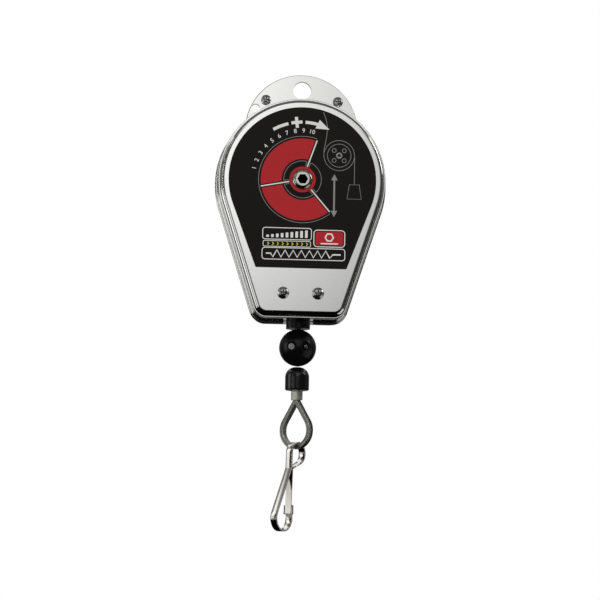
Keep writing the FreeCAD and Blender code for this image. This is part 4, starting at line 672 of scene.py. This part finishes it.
def pressed(node, name, side):
    """A cover with its edges rolled over as the press leaves them; side is -1 in front, 1 at the rear."""
    made = bmesh.new()
    made.from_mesh(nodes[node].data)
    bmesh.ops.transform(made, verts=made.verts, matrix=nodes[node].matrix_world)
    bmesh.ops.remove_doubles(made, verts=made.verts, dist=MERGE)

    def goes_to(vertex):
        return rolled(outside(vertex.co.x / MM, vertex.co.z / MM), side * vertex.co.y / MM)

    moving = {vertex for vertex in made.verts if goes_to(vertex)}
    long_edges = [edge for edge in made.edges if edge.verts[0] in moving and edge.verts[1] in moving]
    bmesh.ops.subdivide_edges(made, edges=long_edges, cuts=LONG_EDGE_CUTS, use_grid_fill=True)
    facing = made.verts.layers.float_vector.new("facing")
    for vertex in made.verts:
        goes = goes_to(vertex)
        if not goes:
            continue
        (new_out, new_deep), way = goes
        x, z = vertex.co.x / MM, vertex.co.z / MM
        away = Vector((outside(x + NEARBY, z) - outside(x - NEARBY, z),
                       outside(x, z + NEARBY) - outside(x, z - NEARBY)))
        away.normalize()
        shift = new_out - outside(x, z)
        vertex.co = Vector((x + away.x * shift, side * new_deep, z + away.y * shift)) * MM
        if way:
            vertex[facing] = (away.x * way[0], side * way[1], away.y * way[0])
    bmesh.ops.dissolve_degenerate(made, edges=made.edges, dist=MERGE / 2)
    bmesh.ops.triangulate(made, faces=made.faces)
    piece = new_piece(name, made, nickel_plate, "housing", smooth=32)
    data = piece.data
    known = [Vector(held.vector) for held in data.attributes["facing"].data]
    data.attributes.remove(data.attributes["facing"])
    ways = []
    for face in data.polygons:
        flat = abs(face.normal.y) > FLAT_FROM
        for corner in face.vertices:
            fits = known[corner].dot(face.normal) > FITS_FROM
            ways.append(face.normal.copy() if flat else known[corner] if fits else Vector())
    data.normals_split_custom_set(ways)
    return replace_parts(piece, node)


pressed("front_cover", "front_cover_pressed", -1)
pressed("rear_cover", "rear_cover_pressed", 1)

# the straight stretches of rope: one through the ball, one that pays out between the case and the ball
for node, piece_name in (("rope_in_ball", "rope_in_ball_strands"), ("rope_run", "rope_run_strands")):
    low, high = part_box(node)
    ends = [Vector((0, 0, z / MM)) for z in (high.z, (high.z + low.z) / 2, low.z)]
    body = "rope_end" if node == "rope_in_ball" else None
    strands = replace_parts(laid_rope(piece_name, ends, body), node)
    if not body:
        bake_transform(strands)

# ---------------------------------------------------------------- light and ground
FLOOR_Z, FLOOR_WIDE = -1.4, 12  # in metres; low enough for the rope when it is pulled right out
FADE_FROM, FADE_TO = 0.4, 1.6
SOFT_SKY = 0.78  # the white sky's strength in the light it spreads; it is 1 where it is seen or mirrored


def card(name, centre, towards, width, height, shade, seen=False):
    """A flat card that faces a point; the camera sees past it unless seen."""
    made = bmesh.new()
    bmesh.ops.create_grid(made, x_segments=4, y_segments=4, size=0.5)
    facing = (Vector(towards) - Vector(centre)).to_track_quat("Z", "Y").to_matrix().to_4x4()
    bmesh.ops.transform(made, verts=made.verts,
                        matrix=Matrix.Translation(centre) @ facing @ Matrix.Diagonal((width, height, 1, 1)))
    data = bpy.data.meshes.new(name)
    made.to_mesh(data)
    made.free()
    piece = bpy.data.objects.new(name, data)
    scene.collection.objects.link(piece)
    paper = bpy.data.materials.new(name + "_paper")
    paper.use_nodes = True
    shader = paper.node_tree.nodes["Principled BSDF"]
    shader.inputs["Base Color"].default_value = linear(shade)
    shader.inputs["Roughness"].default_value = 0.9
    shader.inputs["Specular IOR Level"].default_value = 0
    data.materials.append(paper)
    piece.visible_camera = seen
    piece.visible_diffuse = seen
    piece.visible_shadow = seen
    return piece


def ramp_of(tree, value, stops):
    """A brightness that follows a value between stops, each (value, brightness)."""
    low, high = stops[0][0], stops[-1][0]
    along = add(tree, "MapRange", {"Value": value, "From Min": low, "From Max": high})
    ramp = add(tree, "ValToRGB", {0: along.outputs[0]})
    held = ramp.color_ramp.elements
    held.remove(held[1])
    for place, level in stops:
        stop = held.new((place - low) / (high - low)) if place > low else held[0]
        stop.color = (level, level, level, 1)
    return ramp.outputs["Color"]


def glow_card(name, centre, towards, width, height, rise, across=((-9, 1), (9, 1))):
    """A card with its own light, never seen itself, brighter and darker with the height and sideways."""
    piece = card(name, centre, towards, width, height, "#000000")
    paper = piece.data.materials[0].node_tree
    place = add(paper, "SeparateXYZ", {0: add(paper, "NewGeometry").outputs["Position"]})
    glow = add(paper, "Emission", {"Color": ramp_of(paper, place.outputs["Z"], rise),
                                   "Strength": ramp_of(paper, place.outputs["X"], across)})
    paper.links.new(glow.outputs[0], paper.nodes["Material Output"].inputs["Surface"])


def fade_out(ground, near, far):
    """To the eye the ground turns into the white backdrop, between two distances from under the object."""
    paper = ground.data.materials[0].node_tree
    place = add(paper, "NewGeometry").outputs["Position"]
    away = add(paper, "VectorMath", {0: place, 1: (0, 0, FLOOR_Z)}, operation="DISTANCE").outputs["Value"]
    faded = add(paper, "MapRange", {"Value": away, "From Min": near, "From Max": far},
                interpolation_type="SMOOTHSTEP")
    straight = add(paper, "LightPath").outputs["Is Camera Ray"]
    share = add(paper, "Math", {0: faded.outputs[0], 1: straight}, operation="MULTIPLY")
    white = add(paper, "Emission", {"Strength": 1})
    mixed = add(paper, "MixShader", {0: share.outputs[0], 1: paper.nodes["Principled BSDF"].outputs[0],
                                     2: white.outputs[0]})
    paper.links.new(mixed.outputs[0], paper.nodes["Material Output"].inputs["Surface"])


floor = card("floor", (0, 0.3, FLOOR_Z), (0, 0.3, 1), FLOOR_WIDE, FLOOR_WIDE, "#f4f4f2", seen=True)
fade_out(floor, FADE_FROM, FADE_TO)
# dark and grey cards that the steel mirrors as its dark edges
card("flag_under", (0, -0.2, -0.5), (0, -0.2, 0), 3.0, 3.0, "#050505")
card("flag_front_low", (0, -1.5, -0.75), (0, 0, -0.3), 3.2, 1.0, "#050505")
card("flag_over", (0, -0.35, 0.75), (0, -0.35, 0), 1.8, 1.3, "#6c6c6c")
card("flag_front_left", (-0.95, -1.65, 0.6), (0, 0, 0), 0.9, 0.9, "#0a0a0a")
# cards with their own light, which the steel mirrors as its bright stretches
glow_card("left_front_card", (-1.1, -1.25, 0.1), (0, 0, 0.1), 0.62, 1.6,
          [(-0.7, 0.8), (-0.1, 0.8), (0.1, 0.1), (0.9, 0.05)])
glow_card("front_card", (0, -2.0, 0.25), (0, 0, -0.1), 2.6, 1.3,
          [(-0.3, 0.0), (-0.1, 0.08), (0.0, 0.34), (0.11, 0.7), (0.2, 0.8), (0.3, 0.95), (0.42, 1.0)],
          [(-1.3, 0.3), (-0.7, 0.35), (-0.35, 0.55), (-0.16, 1.1),
           (0.0, 1.06), (0.12, 0.88), (0.3, 0.6), (0.7, 0.35), (1.3, 0.2)])
glow_card("left_card", (-0.98, -0.36, 0.1), (0, 0, 0.1), 0.62, 1.4,
          [(-0.6, 0.12), (-0.35, 0.3), (-0.2, 0.08), (-0.12, 0.02), (0.5, 0.04), (0.8, 0.1)])
glow_card("left_back_card", (-1.05, 0.5, 0.1), (0, 0, 0.1), 1.0, 1.4,
          [(-0.6, 0.04), (-0.2, 0.08), (0.1, 0.1), (0.8, 0.3)])
glow_card("low_left_card", (-0.282, -0.034, -0.13), (0, 0, -0.27), 0.13, 0.34,
          [(-0.3, 1.0), (-0.245, 0.95), (-0.228, 0.6), (-0.212, 0.6),
           (-0.198, 1.15), (-0.08, 1.25), (-0.05, 0.2), (0.04, 0.1)])
glow_card("low_right_card", (0.25, -0.08, -0.32), (0, 0, -0.22), 0.3, 0.22, [(-0.45, 0.5), (-0.2, 0.5)])
glow_card("right_card", (0.98, -0.62, 0.0), (0, 0, 0), 1.5, 1.4, [(-0.6, 0.01), (0.7, 0.08)])
glow_card("right_back_card", (1.05, 0.5, 0.1), (0, 0, 0.1), 1.0, 1.4,
          [(-0.6, 0.02), (-0.2, 0.05), (0.1, 0.1), (0.8, 0.4)])
glow_card("back_card", (0, 1.1, -0.2), (0, 0, -0.2), 2.4, 1.6,
          [(-0.9, 0.01), (-0.46, 0.03), (-0.34, 0.28), (-0.1, 0.16), (0.5, 0.24)])


def softbox(name, turn, rise, distance, width, height, radiance):
    """A soft lamp round the object; turn runs from the front to the right, and radiance 1 is white."""
    lamp = bpy.data.lights.new(name, "AREA")
    lamp.shape = "RECTANGLE"
    lamp.size, lamp.size_y = width, height
    lamp.energy = radiance * math.pi * width * height
    piece = bpy.data.objects.new(name, lamp)
    scene.collection.objects.link(piece)
    turn, rise = math.radians(turn), math.radians(rise)
    out = Vector((math.sin(turn) * math.cos(rise), -math.cos(turn) * math.cos(rise), math.sin(rise)))
    piece.location = AIM + out * distance
    piece.rotation_mode = "QUATERNION"
    piece.rotation_quaternion = out.to_track_quat("Z", "Y")


softbox("left_softbox", -55, 14, 1.2, 0.12, 0.5, 4)
softbox("right_softbox", 80, 30, 1.2, 0.12, 0.4, 5)
softbox("top_softbox", -20, 62, 1.3, 0.4, 0.3, 1.2)

world = bpy.data.worlds.new("studio")
world.use_nodes = True
scene.world = world
sky = world.node_tree
ray = add(sky, "LightPath")
sharp = add(sky, "Math", {0: ray.outputs["Is Camera Ray"], 1: ray.outputs["Is Glossy Ray"]},
            operation="MAXIMUM")
clear = add(sky, "Math", {0: sharp.outputs[0], 1: ray.outputs["Is Transmission Ray"]}, operation="MAXIMUM")
strength = add(sky, "MapRange", {"Value": clear.outputs[0], "To Min": SOFT_SKY, "To Max": 1.0})
backing = sky.nodes["Background"]
backing.inputs["Color"].default_value = (1, 1, 1, 1)
sky.links.new(strength.outputs[0], backing.inputs["Strength"])
